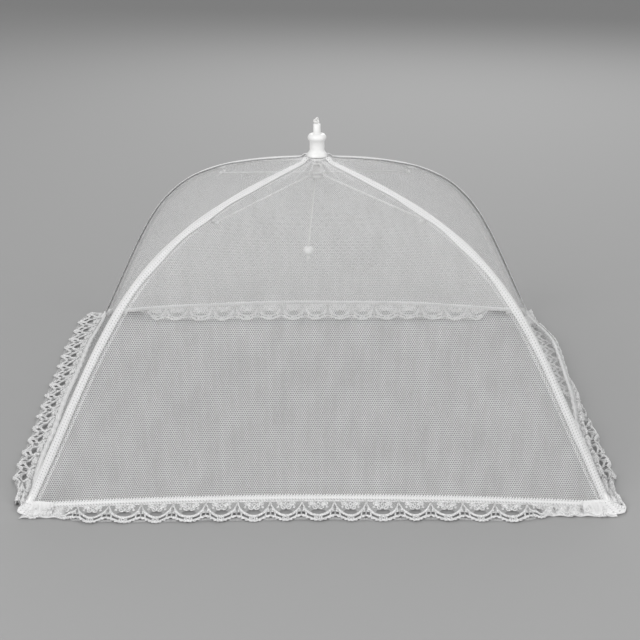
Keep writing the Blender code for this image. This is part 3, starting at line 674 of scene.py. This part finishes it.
tape_finish, tape_shader, tape_start = new_finish("cotton_tape", (0.88, 0.88, 0.88), 0.8)
tape_shader.inputs["Subsurface Weight"].default_value = 0.7
tape_shader.inputs["Subsurface Radius"].default_value = (1.0, 1.0, 1.0)
tape_shader.inputs["Subsurface Scale"].default_value = 0.0012
tape_across, tape_down = cloth_place(tape_start)
weave_turn = math.tau / weave_pitch
tape_weave = (tape_across * weave_turn).maths("SINE") * (tape_down * weave_turn).maths("SINE")
raise_by(tape_shader, tape_weave, 0.0002)
# Needle holes: the holes are real, but their dark colour is painted shade. The shade inside each hole is
# painted into the tape's colour as a dark dot.
hole_along = ((tape_down / stitch_pitch + 0.25).maths("FRACT") - 0.5) * stitch_pitch
first_row, second_row = [abs(abs(tape_across) - row) for row in needle_rows]
hole_across = first_row.maths("MINIMUM", second_row)
hole_away = (hole_across * hole_across + hole_along * hole_along).maths("SQRT")
needle_hole_painted_shade = 1.0 - hole_away.between(0.0002, 0.00048)
shade(tape_shader, (tape_weave * 0.15 + 0.9) * (1.0 - needle_hole_painted_shade), (0.46,) * 3, (0.95,) * 3)
thread_finish, thread_shader, thread_start = new_finish("sewing_thread", (0.94, 0.94, 0.94), 0.6)
raise_by(thread_shader, cloud(object_place(thread_start), 4000.0), 0.00005)


def new_tree(name, inputs):
    """A node tree with these inputs, which are returned by name as Patterns."""
    tree = bpy.data.node_groups.new(name, "GeometryNodeTree")
    for label, kind in inputs.items():
        tree.interface.new_socket(label, in_out="INPUT", socket_type="NodeSocket" + kind)
    tree.interface.new_socket("Geometry", in_out="OUTPUT", socket_type="NodeSocketGeometry")
    entry = tree.nodes.new("NodeGroupInput")
    return {label: Pattern(tree, entry.outputs[label]) for label in inputs}


def end_tree(made, finish):
    """Ends a node tree: instances are made real and the material is set."""
    real = made.node("GeometryNodeRealizeInstances", {}, {"Geometry": made})
    dressed = real.node("GeometryNodeSetMaterial", {}, {"Geometry": real, "Material": finish})
    leave = made.tree.nodes.new("NodeGroupOutput")
    made.tree.links.new(dressed.socket, leave.inputs["Geometry"])
    return made.tree


def thread_tree():
    """A node tree that lays a round thread along the edges of the stitch line that it is given."""
    given = new_tree("lay_thread", {"Geometry": "Geometry", "Thread radius": "Float", "Thread": "Material"})
    add = given["Geometry"].node
    line = add("GeometryNodeMeshToCurve", {}, {"Mesh": given["Geometry"]})
    circle = {"Resolution": 5, "Radius": given["Thread radius"]}
    circle = add("GeometryNodeCurvePrimitiveCircle", {}, circle)
    tube = {"Curve": line, "Profile Curve": circle, "Fill Caps": True}
    return end_tree(add("GeometryNodeCurveToMesh", {}, tube), given["Thread"])


def plain_mesh(piece):
    """A piece's mesh with its modifiers worked in."""
    return bpy.data.meshes.new_from_object(piece.evaluated_get(bpy.context.evaluated_depsgraph_get()))


def made_by(tree, name, mesh, values):
    """Runs a node tree on a mesh and returns the result as a plain mesh piece."""
    carrier = placed(name + "_carrier", mesh)
    step = carrier.modifiers.new("tree", "NODES")
    step.node_group = tree
    for item in tree.interface.items_tree:
        if item.in_out == "INPUT" and item.name in values:
            step[item.identifier] = values[item.name]
    carrier.update_tag()
    bpy.context.view_layer.update()
    piece = placed(name, plain_mesh(carrier))
    bpy.data.objects.remove(carrier)
    piece.data.name = name
    piece.data.shade_smooth()
    return piece


lay_thread = thread_tree()


def sewn_thread(name, lines):
    """Sewing thread along each line of stitch points."""
    points = []
    edges = []
    for line in lines:
        edges += [(len(points) + place, len(points) + place + 1) for place in range(len(line) - 1)]
        points += line.tolist()
    mesh = bpy.data.meshes.new(name + "_stitches")
    mesh.from_pydata(points, edges, [])
    return made_by(lay_thread, name, mesh, {"Thread radius": thread_radius, "Thread": thread_finish})


def thicken(cloth, thickness, offset):
    """Gives a sheet of cloth its thickness, and keeps the result as a plain mesh."""
    wall = cloth.modifiers.new("wall", "SOLIDIFY")
    wall.thickness = thickness
    wall.offset = offset
    cloth.data = plain_mesh(cloth)
    cloth.modifiers.clear()


seam_pieces = {}
for place, quarter in enumerate(quarters):
    side = (place - 1) % 4
    reach = np.linspace(tape_starts, cover[-1, 0] - tape_stops_before, tape_rows + 1)
    lengths = lengths_along(np.stack([reach, cover_height(reach)], axis=1))
    share = np.linspace(-1.0, 1.0, tape_columns + 1)
    reach_grid, share_grid = cloth_grid(reach, share)
    length_grid = np.broadcast_to(lengths[:, None], share_grid.shape)
    pucker = np.cos(math.tau * length_grid / stitch_pitch) * np.abs(share_grid) ** 4
    sideways = share_grid * (gathered_width(reach_grid, place) + stitch_draw * pucker)
    ruffle = ruffle_depth * np.sin(reach_grid / 0.0021) * np.exp(-reach_grid / 0.03)
    groove = np.exp(-(((sideways - rib_groove_side) / 0.00042) ** 2)) * rib_groove.get(quarter, 0.0)
    lift = tape_lift + ruffle * (1.0 - share_grid**2) + pucker_depth * pucker
    points = ridge_points(reach_grid, sideways, lift - groove * soft_step((reach_grid - 0.235) / 0.02))
    places = (sideways, -length_grid)
    tape = cloth_piece("seam_tape_cloth_" + quarter, turned(points, side), places, tape_finish)
    thicken(tape, tape_wall, 0.0)

    even = np.arange(0.003, lengths[-1] - 0.002, stitch_pitch / 2.0)
    stitch_reach = np.interp(even, lengths, reach)
    swing = 0.95 + 0.17 * np.where(np.arange(len(even)) % 2, 1.0, -1.0)
    lines = []
    for edge in (-1.0, 1.0):
        zigzag = edge * swing * gathered_width(stitch_reach, place)
        lines.append(turned(ridge_points(stitch_reach, zigzag, tape_lift + tape_wall / 2.0 + 0.0001), side))
    thread = sewn_thread("seam_thread_" + quarter, lines)
    outwards = turned(np.array([[math.sqrt(0.5), -math.sqrt(0.5), 0.0]]), side)[0]
    for piece in (tape, thread):
        start = tuple(outwards * fold_start + np.array([0.0, 0.0, hinge_height]))
        end = tuple(outwards * fold_end + np.array([0.0, 0.0, hinge_height]))
        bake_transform(piece)
    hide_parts("seam_tape_" + quarter)
    seam_pieces[quarter] = [tape, thread]

# Hem tape: the same tape, folded over the net's lower edge and sewn along both of its edges. It bows
# up between the corners, most of all at the back, and stands out a little on the right and left.
hem_width = 0.0038
hem_wall = 0.0012
hem_flares = (0.0, 0.4, 0.0, 0.9)
hem_cloth = 0.0007
hem_clearance = 0.0009
hem_stitch_clearance = 0.0006
hem_stitch_rows = (0.04, 0.96)
hem_stitch_swing = 0.19
hem_stitch_lift = 0.0003
hem_rows = 8
hem_columns = 490


def hem_points(across, down, side, out=0.0):
    """Points of a hem seen from its own side, across from -1 to 1 and down from 0 to 1 over its width."""
    edge = panel_points(across, np.ones_like(across), side)
    above = panel_points(across, np.full_like(across, 0.97), side)
    way = unit((edge - above) * (0.0, 1.0, 1.0))
    way[..., 1] -= hem_flares[side] * (1.0 - across**4)
    way = unit(way)
    face = np.stack([np.zeros_like(across), way[..., 2], -way[..., 1]], axis=-1)
    bulge = hem_wall / 2.0 * np.sin(math.pi * np.clip(down, 0.0, 1.0)) + out
    return edge + way * (down * hem_width)[..., None] + face * bulge[..., None]


half_span = panel_line[-1, 0] / math.sqrt(2.0)
for side, side_name, hand, quarter in panel_halves():
    rows = np.linspace(-0.05, 1.0, hem_rows + 1)
    down_grid, across_grid = cloth_grid(rows, half_across(hand, hem_columns))
    edge_share = np.abs(2.0 * down_grid - 1.0) ** 3 * np.sign(down_grid - 0.5)
    pucker = np.cos(math.tau * across_grid * half_span / stitch_pitch)
    points = hem_points(across_grid, down_grid + edge_share * pucker * stitch_draw / hem_width, side)
    points[..., 2] = np.maximum(points[..., 2], hem_clearance)
    places = ((down_grid - 0.5) * hem_width, across_grid * half_span)
    name = side_name + "_" + quarter
    hem = cloth_piece("hem_tape_" + name, turned(points, side), places, tape_finish)
    thicken(hem, hem_cloth, -1.0)
    stitch_across = np.arange(0.0, 0.99 * half_span, stitch_pitch / 2.0) / half_span * hand
    swing = np.where(np.arange(len(stitch_across)) % 2, 1.0, -1.0)
    lines = []
    for middle in hem_stitch_rows:
        stitches = hem_points(stitch_across, middle + hem_stitch_swing * swing, side, hem_stitch_lift)
        stitches[..., 2] = np.maximum(stitches[..., 2], hem_stitch_clearance)
        lines.append(turned(stitches, side))
    thread = sewn_thread("hem_thread_" + name, lines)
    for piece in (hem, thread):
        fold_with_rib(piece)
    if hand < 0:
        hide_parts("hem_" + side_name)

# Corner cloth: at each corner the ends of the tapes and of the lace are folded over the rib's tip cap
# and sewn through. The fold makes the pocket that holds the rib, and lies on the table as a thick
# gathered pad of white cloth.
corner_reaches = ((0.0050, 0.0120), (0.0140, 0.0125), (0.0050, 0.0048), (0.0050, 0.0042))
corner_run = 0.0195
corner_turn_share = 0.4
corner_outline_shares = (0.02, 0.05, 0.10, 0.25, 0.50, 0.75, 0.92, 1.0, 1.0, 0.93, 0.80)
corner_outline_heights = (
    0.0072, 0.0066, 0.0056, 0.0044, 0.0037, 0.0032, 0.0028, 0.0020, 0.0012, 0.0007, 0.0006
)
corner_cloth = 0.0006
corner_clearance = 0.0005
corner_gap = 0.0004
corner_pleat_depth = 0.00045
corner_rows = 28
corner_columns = 120

for place, quarter in enumerate(quarters):
    side = (place - 1) % 4
    rows = np.linspace(0.0, 1.0, corner_rows + 1)
    down_grid, along_grid = cloth_grid(rows, np.linspace(-1.0, 1.0, corner_columns + 1))
    around_corner = soft_step((along_grid / corner_turn_share + 1.0) / 2.0)
    turn = -math.pi / 2.0 * (1.0 - around_corner)
    first_reach, second_reach = corner_reaches[place]
    reach = first_reach + (second_reach - first_reach) * around_corner
    reach = reach * (1.0 - 0.25 * np.abs(along_grid) ** 3) + 0.0006 * np.sin(along_grid * 9.0 + place)
    spot = down_grid * (len(corner_outline_shares) - 1)
    out = np.interp(spot, np.arange(len(corner_outline_shares)), corner_outline_shares) * reach
    height = np.interp(spot, np.arange(len(corner_outline_heights)), corner_outline_heights)
    height *= 1.0 - 0.22 * np.abs(along_grid) ** 2
    pleat = np.sin(along_grid * 23.0 + 2.0 * place + 4.0 * down_grid)
    pleat += 0.6 * np.sin(along_grid * 41.0 - 5.0 * down_grid)
    height += corner_pleat_depth * pleat * np.sin(math.pi * np.minimum(down_grid * 1.3, 1.0))
    before = np.minimum(along_grid, 0.0) * corner_run
    after = np.maximum(along_grid, 0.0) * corner_run
    x = half_span + before + np.cos(turn) * (out + corner_gap)
    y = -half_span + after + np.sin(turn) * (out + corner_gap)
    y += (1.0 - (1.0 + before / half_span) ** 2) * draw_in_foot
    x -= (1.0 - (1.0 - after / half_span) ** 2) * draw_in_foot
    points = np.stack([x, y, np.maximum(height, corner_clearance)], axis=-1)
    places = (along_grid * corner_run, -out)
    cloth = cloth_piece("corner_cloth_" + quarter, turned(points, side), places, tape_finish)
    thicken(cloth, corner_cloth, 0.0)
    fold_with_rib(cloth)
    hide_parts("corner_pocket_" + quarter)
    seam_pieces[quarter].append(cloth)

for side, side_name, hand, quarter in panel_halves():
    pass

# Lace: a white machine-made lace border, 25 mm wide, sewn under the hem. Each repeat is a scallop of
# corded arcs, bars and picots on fine net, with a flower under the hem. It spreads on the table and is
# gathered at the corners; on the right it is folded under, and at the back it hangs inwards.
lace_pitch = 0.0238
lace_width = 0.0250
lace_repeats = 9.5
lace_even_repeats = ((7.4, 6.5), (7.1, 7.0), (7.2, 7.0), (8.5, 7.3))
lace_spread_places = (-9.5, -5.0, 0.0, 5.0, 9.5)
lace_spreads = (
    (1.0,) * 5,
    (0.68, 0.66, 0.74, 0.85, 0.85),
    (0.9,) * 5,
    (0.98, 1.0, 0.95, 0.82, 0.66),
)
lace_fold_places = (-4.5, 1.0, 7.5, 9.5)
lace_folds = (1.0, 0.12, 0.12, 0.38)
lace_fall_power = 2.3
lace_tucked = 8.0
lace_ends = ((0.006, 0.006), (0.006, 0.0), (0.006, 0.006), (0.009, -0.004))
lace_overlap = 0.05
lace_rows = 30
lace_columns = 260
lace_cell = 0.0011
cording_share = 1.15
lace_clearance = 0.0005
lace_end_gap = 0.0015
lace_under_hem = 0.0007
lace_least_rise = 0.0005
lace_pinch = 0.40
lace_pinch_before = 0.010
lace_pinch_run = 0.030
lace_end_from = 0.185
lace_end_run = 0.03
lace_fold_depth = 0.0105
lace_wave_depth = 0.0014
lace_crumple_depth = 0.0022
lace_slide = 0.0010
lace_folded_lifts = (0.0020, 0.0008)
lace_tucked_lift = 0.0008
half_scallop = 11.9
ribbon_profile = ((-0.5, 0.1), (-0.3, 0.8), (0.0, 1.0), (0.3, 0.8), (0.5, 0.1), (0.0, 0.0))


def fallen_reach(rise, width, down):
    """How far out the lace reaches at a share of its width, and at its edge, as it falls from a
    height and keeps its own width along the fall."""
    steps = np.linspace(0.0, 1.0, 60)
    table = [np.zeros_like(rise)]
    for low, high in zip(steps, steps[1:]):
        drop = rise * ((1.0 - low) ** lace_fall_power - (1.0 - high) ** lace_fall_power)
        step = width * (high - low)
        table.append(table[-1] + np.sqrt(np.maximum(step**2 - drop**2, (0.25 * step) ** 2)))
    table = np.stack(table)
    spot = down * (len(steps) - 1)
    lower = np.clip(spot.astype(int), 0, len(steps) - 2)
    row, column = np.indices(down.shape)
    out = table[lower, row, column]
    return out + (table[lower + 1, row, column] - out) * (spot - lower), table[-1]


def lace_surface(along, down, side, hand):
    """Points of the front lace: repeats from the middle, and the share of the width from the hem."""
    even = lace_even_repeats[side][hand > 0.0]
    slow = lace_pitch * even
    repeats = along * hand
    rest = np.clip((repeats - even) / (lace_repeats - even), 0.0, 1.0)
    packed = slow + (half_span - lace_end_gap - slow) * rest
    place = np.where(repeats < even, repeats * lace_pitch, packed)
    top = hem_points(hand * place / half_span, np.ones_like(place), side)
    pinch = soft_step((place - slow + lace_pinch_before) / lace_pinch_run)
    spread = np.interp(along, lace_spread_places, lace_spreads[side])
    width = lace_width * spread * (1.0 - lace_pinch * pinch)
    rise = np.maximum(top[..., 2] - lace_under_hem, lace_least_rise)
    out, edge_out = fallen_reach(rise, width, down)
    folded_at = np.interp(along, lace_fold_places, lace_folds) if side == 1 else np.ones_like(along)
    folded = folded_at < 0.99
    under = soft_step((down - folded_at) / 0.08 + 0.5) * folded
    fold_out = folded_at * edge_out
    out = fold_out - np.abs(fold_out - out)
    tucked = soft_step((lace_tucked - repeats) / 1.2) * (side == 2)
    out = out * (1.0 - 2.0 * tucked)
    wave = 0.5 + 0.5 * np.sin(along * 4.1 + side * 1.7) * np.sin(along * 2.3 + side)
    crumple = 1.0 + np.sin(along * 13.0 + side * 2.0 + 3.0 * down)
    crumple = crumple * down * (1.0 - down) * 3.0
    fold = 0.5 - 0.5 * np.cos(down * 13.0 + 0.9 * np.sin(along * 3.7 + side))
    over_lift, under_lift = lace_folded_lifts
    height = rise * (1.0 - down) ** lace_fall_power + lace_fold_depth * (1.0 - spread) * fold
    height = height * (1.0 - 0.9 * under) + (over_lift + (under_lift - over_lift) * under) * folded
    height += lace_tucked_lift * tucked + lace_crumple_depth * crumple * pinch
    height += lace_wave_depth * wave * down * (1.0 - pinch)
    slide = lace_slide * np.sin(along * 3.1 + side) * down * (1.0 - pinch)
    turned_in = soft_step((place - lace_end_from) / lace_end_run) * down
    x = hand * (place + lace_ends[side][hand > 0.0] * turned_in) + slide
    return np.stack([x, top[..., 1] - out, np.maximum(height, 0.0) + lace_clearance], axis=-1)


def arc_height(x):
    """How far down the lace an arc lies, in mm, at a distance in mm from the scallop's middle."""
    return 1.4 + 14.6 * np.maximum(1.0 - (x / half_scallop) ** 2, 0.0) ** 0.72


def edge_height(x):
    """How far down the lace its scalloped edge lies, in mm."""
    return 20.4 + 2.9 * np.cos(math.pi * x / half_scallop)


def add_ribbon(form, line, width, height, closed=False):
    """A flat-bottomed rounded cord along a line of (x, y) points in mm, in the lace's own plane."""
    line = np.array(line, float)
    before = np.roll(line, 1, axis=0) if closed else np.concatenate([line[:1], line[:-1]])
    after = np.roll(line, -1, axis=0) if closed else np.concatenate([line[1:], line[-1:]])
    way = unit(after - before)
    rings = []
    for point, across in zip(line, np.stack([-way[:, 1], way[:, 0]], axis=1)):
        ring = []
        for share, up in ribbon_profile:
            x, y = (point + across * share * width * cording_share) / 1000.0
            ring.append(form.verts.new((x / lace_pitch, y / lace_width, up * height / 1000.0)))
        rings.append(ring)
    join_rings(form, rings, closed)


def oval(x, y, wide, tall, turn=0.0, count=12):
    """A closed oval of points about (x, y), in mm."""
    angles = math.tau * np.arange(count) / count
    across, up = wide * np.cos(angles), tall * np.sin(angles)
    cosine, sine = math.cos(turn), math.sin(turn)
    return np.stack([x + across * cosine - up * sine, y + across * sine + up * cosine], axis=1)


def lace_motif():
    """One scallop of the lace, flat: across in repeats, down in shares of the width, up in metres.
    A cord's size is its width and its height, in mm."""
    form = bmesh.new()
    across = np.linspace(-1.0, 1.0, 33)
    across = half_scallop * np.sign(across) * np.abs(across) ** 0.8
    inner = np.linspace(-10.6, 10.6, 25)
    edge = np.linspace(-half_scallop, half_scallop, 25)
    heading = np.linspace(-half_scallop, half_scallop, 9)
    for x, y, width, height in (
        (across, arc_height(across), 1.25, 0.75),
        (inner, arc_height(inner * 0.985) + 1.35, 1.1, 0.65),
        (edge, edge_height(edge) - 0.9, 1.3, 0.65),
        (edge, edge_height(edge) + 0.1, 1.0, 0.75),
        (heading, np.full_like(heading, 0.7), 1.2, 0.5),
    ):
        add_ribbon(form, np.stack([x, y], axis=1), width, height)
    for sign in (-1.0, 1.0):
        for line, width, height in (
            (((half_scallop, 2.2), (half_scallop, 10.0), (half_scallop, 17.2)), 1.0, 0.6),
            (((half_scallop, 11.4), (9.4, 11.9)), 0.9, 0.55),
            (((10.7, 7.0), (10.7, 11.6)), 0.9, 0.5),
            (((8.9, 11.2), (8.4, 15.0), (8.3, 18.0)), 1.1, 0.55),
            (((2.1, 16.6), (2.3, 20.0), (2.0, 22.4)), 1.2, 0.6),
            (((6.4, 6.2), (5.6, 4.6)), 0.6, 0.4),
        ):
            add_ribbon(form, [(sign * x, y) for x, y in line], width, height)
        for x in (9.6, 7.0, 4.3, 1.5):
            tall = 0.55 if x > 9.0 else 0.8
            add_ribbon(form, oval(sign * x, edge_height(x) + 0.75, 1.05, tall, count=9), 0.75, 0.7, True)
        for x, y, wide, tall, turn, count, width, height in (
            (4.4, 3.4, 2.5, 1.3, -0.2, 12, 1.0, 0.7),
            (4.3, 3.5, 1.3, 0.5, -0.2, 8, 0.8, 0.6),
            (2.5, 7.2, 1.0, 1.9, 0.6, 12, 1.0, 0.7),
            (6.3, 6.7, 0.7, 0.7, 0.0, 8, 0.8, 0.6),
        ):
            add_ribbon(form, oval(sign * x, y, wide, tall, sign * turn, count), width, height, True)
    for y, wide, tall, count, width, height in (
        (4.1, 1.0, 1.7, 12, 1.0, 0.8),
        (7.0, 0.6, 0.6, 8, 0.8, 0.6),
        (19.6, 1.0, 1.7, 12, 1.0, 0.7),
    ):
        add_ribbon(form, oval(0.0, y, wide, tall, count=count), width, height, True)
    bmesh.ops.recalc_face_normals(form, faces=form.faces)
    return mesh_of(form, "lace_motif")


def lace_tree():
    """A node tree that repeats the motif along a lace ground and lays it on the ground's surface.
    What falls past the ground's end is marked as missed and cut away."""
    given = new_tree(
        "lay_lace",
        {
            "Geometry": "Geometry",
            "Motif": "Object",
            "Repeats": "Int",
            "First repeat": "Float",
            "Length in repeats": "Float",
            "Thread": "Material",
        },
    )
    ground = given["Geometry"]
    add = ground.node
    start = add("ShaderNodeCombineXYZ", {}, {"X": given["First repeat"]})
    row = {"Count": given["Repeats"], "Start Location": start, "Offset": (1.0, 0.0, 0.0)}
    row = add("GeometryNodeMeshLine", {}, row)
    motif = add("GeometryNodeObjectInfo", {}, {"Object": given["Motif"]}, output="Geometry")
    copies = add("GeometryNodeInstanceOnPoints", {}, {"Points": row, "Instance": motif})
    real = add("GeometryNodeRealizeInstances", {}, {"Geometry": copies})
    across, down, up = add("GeometryNodeInputPosition", {}, {}).split(3)
    spot = add("ShaderNodeCombineXYZ", {}, {"X": across / given["Length in repeats"] + 0.5, "Y": down})
    place = add("GeometryNodeInputNamedAttribute", {"data_type": "FLOAT_VECTOR"}, {"Name": "place"})
    found = []
    for kind in ("GeometryNodeInputPosition", "GeometryNodeInputNormal"):
        values = {"Mesh": ground, "Value": add(kind, {}, {}), "UV Map": place, "Sample UV": spot}
        found.append(add("GeometryNodeSampleUVSurface", {"data_type": "FLOAT_VECTOR"}, values))
    position, normal = found
    lift = add("ShaderNodeVectorMath", {"operation": "SCALE"}, {0: normal, "Scale": up})
    raised = add("ShaderNodeVectorMath", {"operation": "ADD"}, {0: position, 1: lift})
    valid = Pattern(ground.tree, position.socket.node.outputs["Is Valid"])
    missed = add("FunctionNodeBooleanMath", {"operation": "NOT"}, {0: valid})
    truth = {"data_type": "BOOLEAN"}
    kept = {"Geometry": real, "Name": "missed", "Value": missed}
    kept = add("GeometryNodeStoreNamedAttribute", truth, kept)
    moved = add("GeometryNodeSetPosition", {}, {"Geometry": kept, "Position": raised})
    was_missed = add("GeometryNodeInputNamedAttribute", truth, {"Name": "missed"})
    cut = add("GeometryNodeDeleteGeometry", {}, {"Geometry": moved, "Selection": was_missed})
    return end_tree(cut, given["Thread"])


ground_finish, ground_shader, ground_start = new_finish("lace_ground", (0.78, 0.78, 0.78), 0.7)
ground_across, ground_down = cloth_place(ground_start)
ground_reach = hexagon_reach(
    ground_across * (lace_pitch / lace_cell), ground_down * (lace_width / lace_cell)
)
ground_net = ground_reach.between(0.36, 0.44)
from_middle = abs((ground_across + 0.5).maths("FRACT") - 0.5) * 2.0
arc_line = (1.0 - from_middle * from_middle).maths("MAXIMUM", 0.0).maths("POWER", 0.72) * 0.584 + 0.056
above_arc = 1.0 - (ground_down - arc_line).between(0.0, 0.02)
hole_across = from_middle / 0.42
hole_down = (ground_down - 0.47) / 0.12
outside_hole = (hole_across * hole_across + hole_down * hole_down).between(0.85, 1.1)
between_scallops = (ground_down - 0.80).between(0.0, 0.02) * from_middle.between(0.55, 0.65)
between_scallops = between_scallops * (1.0 - (ground_down - 0.93).between(0.0, 0.02))
gathered = kept_value(ground_start, "gathered") * (1.0 - ground_down.between(0.9, 0.97))
ground_open = ground_net * (above_arc * outside_hole).maths("MAXIMUM", between_scallops)
drive(ground_shader, "Alpha", ground_open.maths("MAXIMUM", gathered))
raise_by(ground_shader, ground_net, 0.0001)
lace_finish, lace_shader, lace_start = new_finish("lace_cording", (0.9, 0.9, 0.9), 0.65)
lace_fuzz = cloud(object_place(lace_start), 1500.0)
shade(lace_shader, lace_fuzz.between(0.38, 0.62), (0.52,) * 3, (0.9,) * 3)
raise_by(lace_shader, lace_fuzz, 0.0004)

lay_lace = lace_tree()
motif_object = placed("lace_motif", lace_motif())
for side, side_name, hand, quarter in panel_halves():
    name = side_name + "_" + quarter
    grounds = []
    for start in (0.0, -lace_overlap):
        along = np.sort(np.linspace(start, lace_repeats, lace_columns + 1) * hand)
        down_grid, along_grid = cloth_grid(np.linspace(0.0, 1.0, lace_rows + 1), along)
        points = turned(lace_surface(along_grid, down_grid, side, hand), side)
        grounds.append(cloth_piece("lace_ground_" + name, points, (along_grid, down_grid), ground_finish))
    ground, carrier = grounds
    even = lace_even_repeats[side][hand > 0.0]
    packed = soft_step((np.abs(half_across(hand, lace_columns)) * lace_repeats - even - 0.3) / 0.5)
    keep_on_points(ground, "gathered", np.broadcast_to(packed, along_grid.shape))
    spots = (along_grid / (2.0 * lace_repeats) + 0.5, down_grid)
    layer = carrier.data.attributes.new("place", "FLOAT2", "CORNER")
    layer.data.foreach_set("vector", corner_values(carrier.data, spots))
    cords = made_by(
        lay_lace,
        "lace_cords_" + name,
        carrier.data,
        {
            "Motif": motif_object,
            "Repeats": 10,
            "First repeat": 0.0 if hand > 0 else -9.0,
            "Length in repeats": 2.0 * lace_repeats,
            "Thread": lace_finish,
        },
    )
    bpy.data.objects.remove(carrier)
    for piece in (ground, cords):
        fold_with_rib(piece)
    if hand < 0:
        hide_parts("lace_" + side_name)
bpy.data.objects.remove(motif_object)
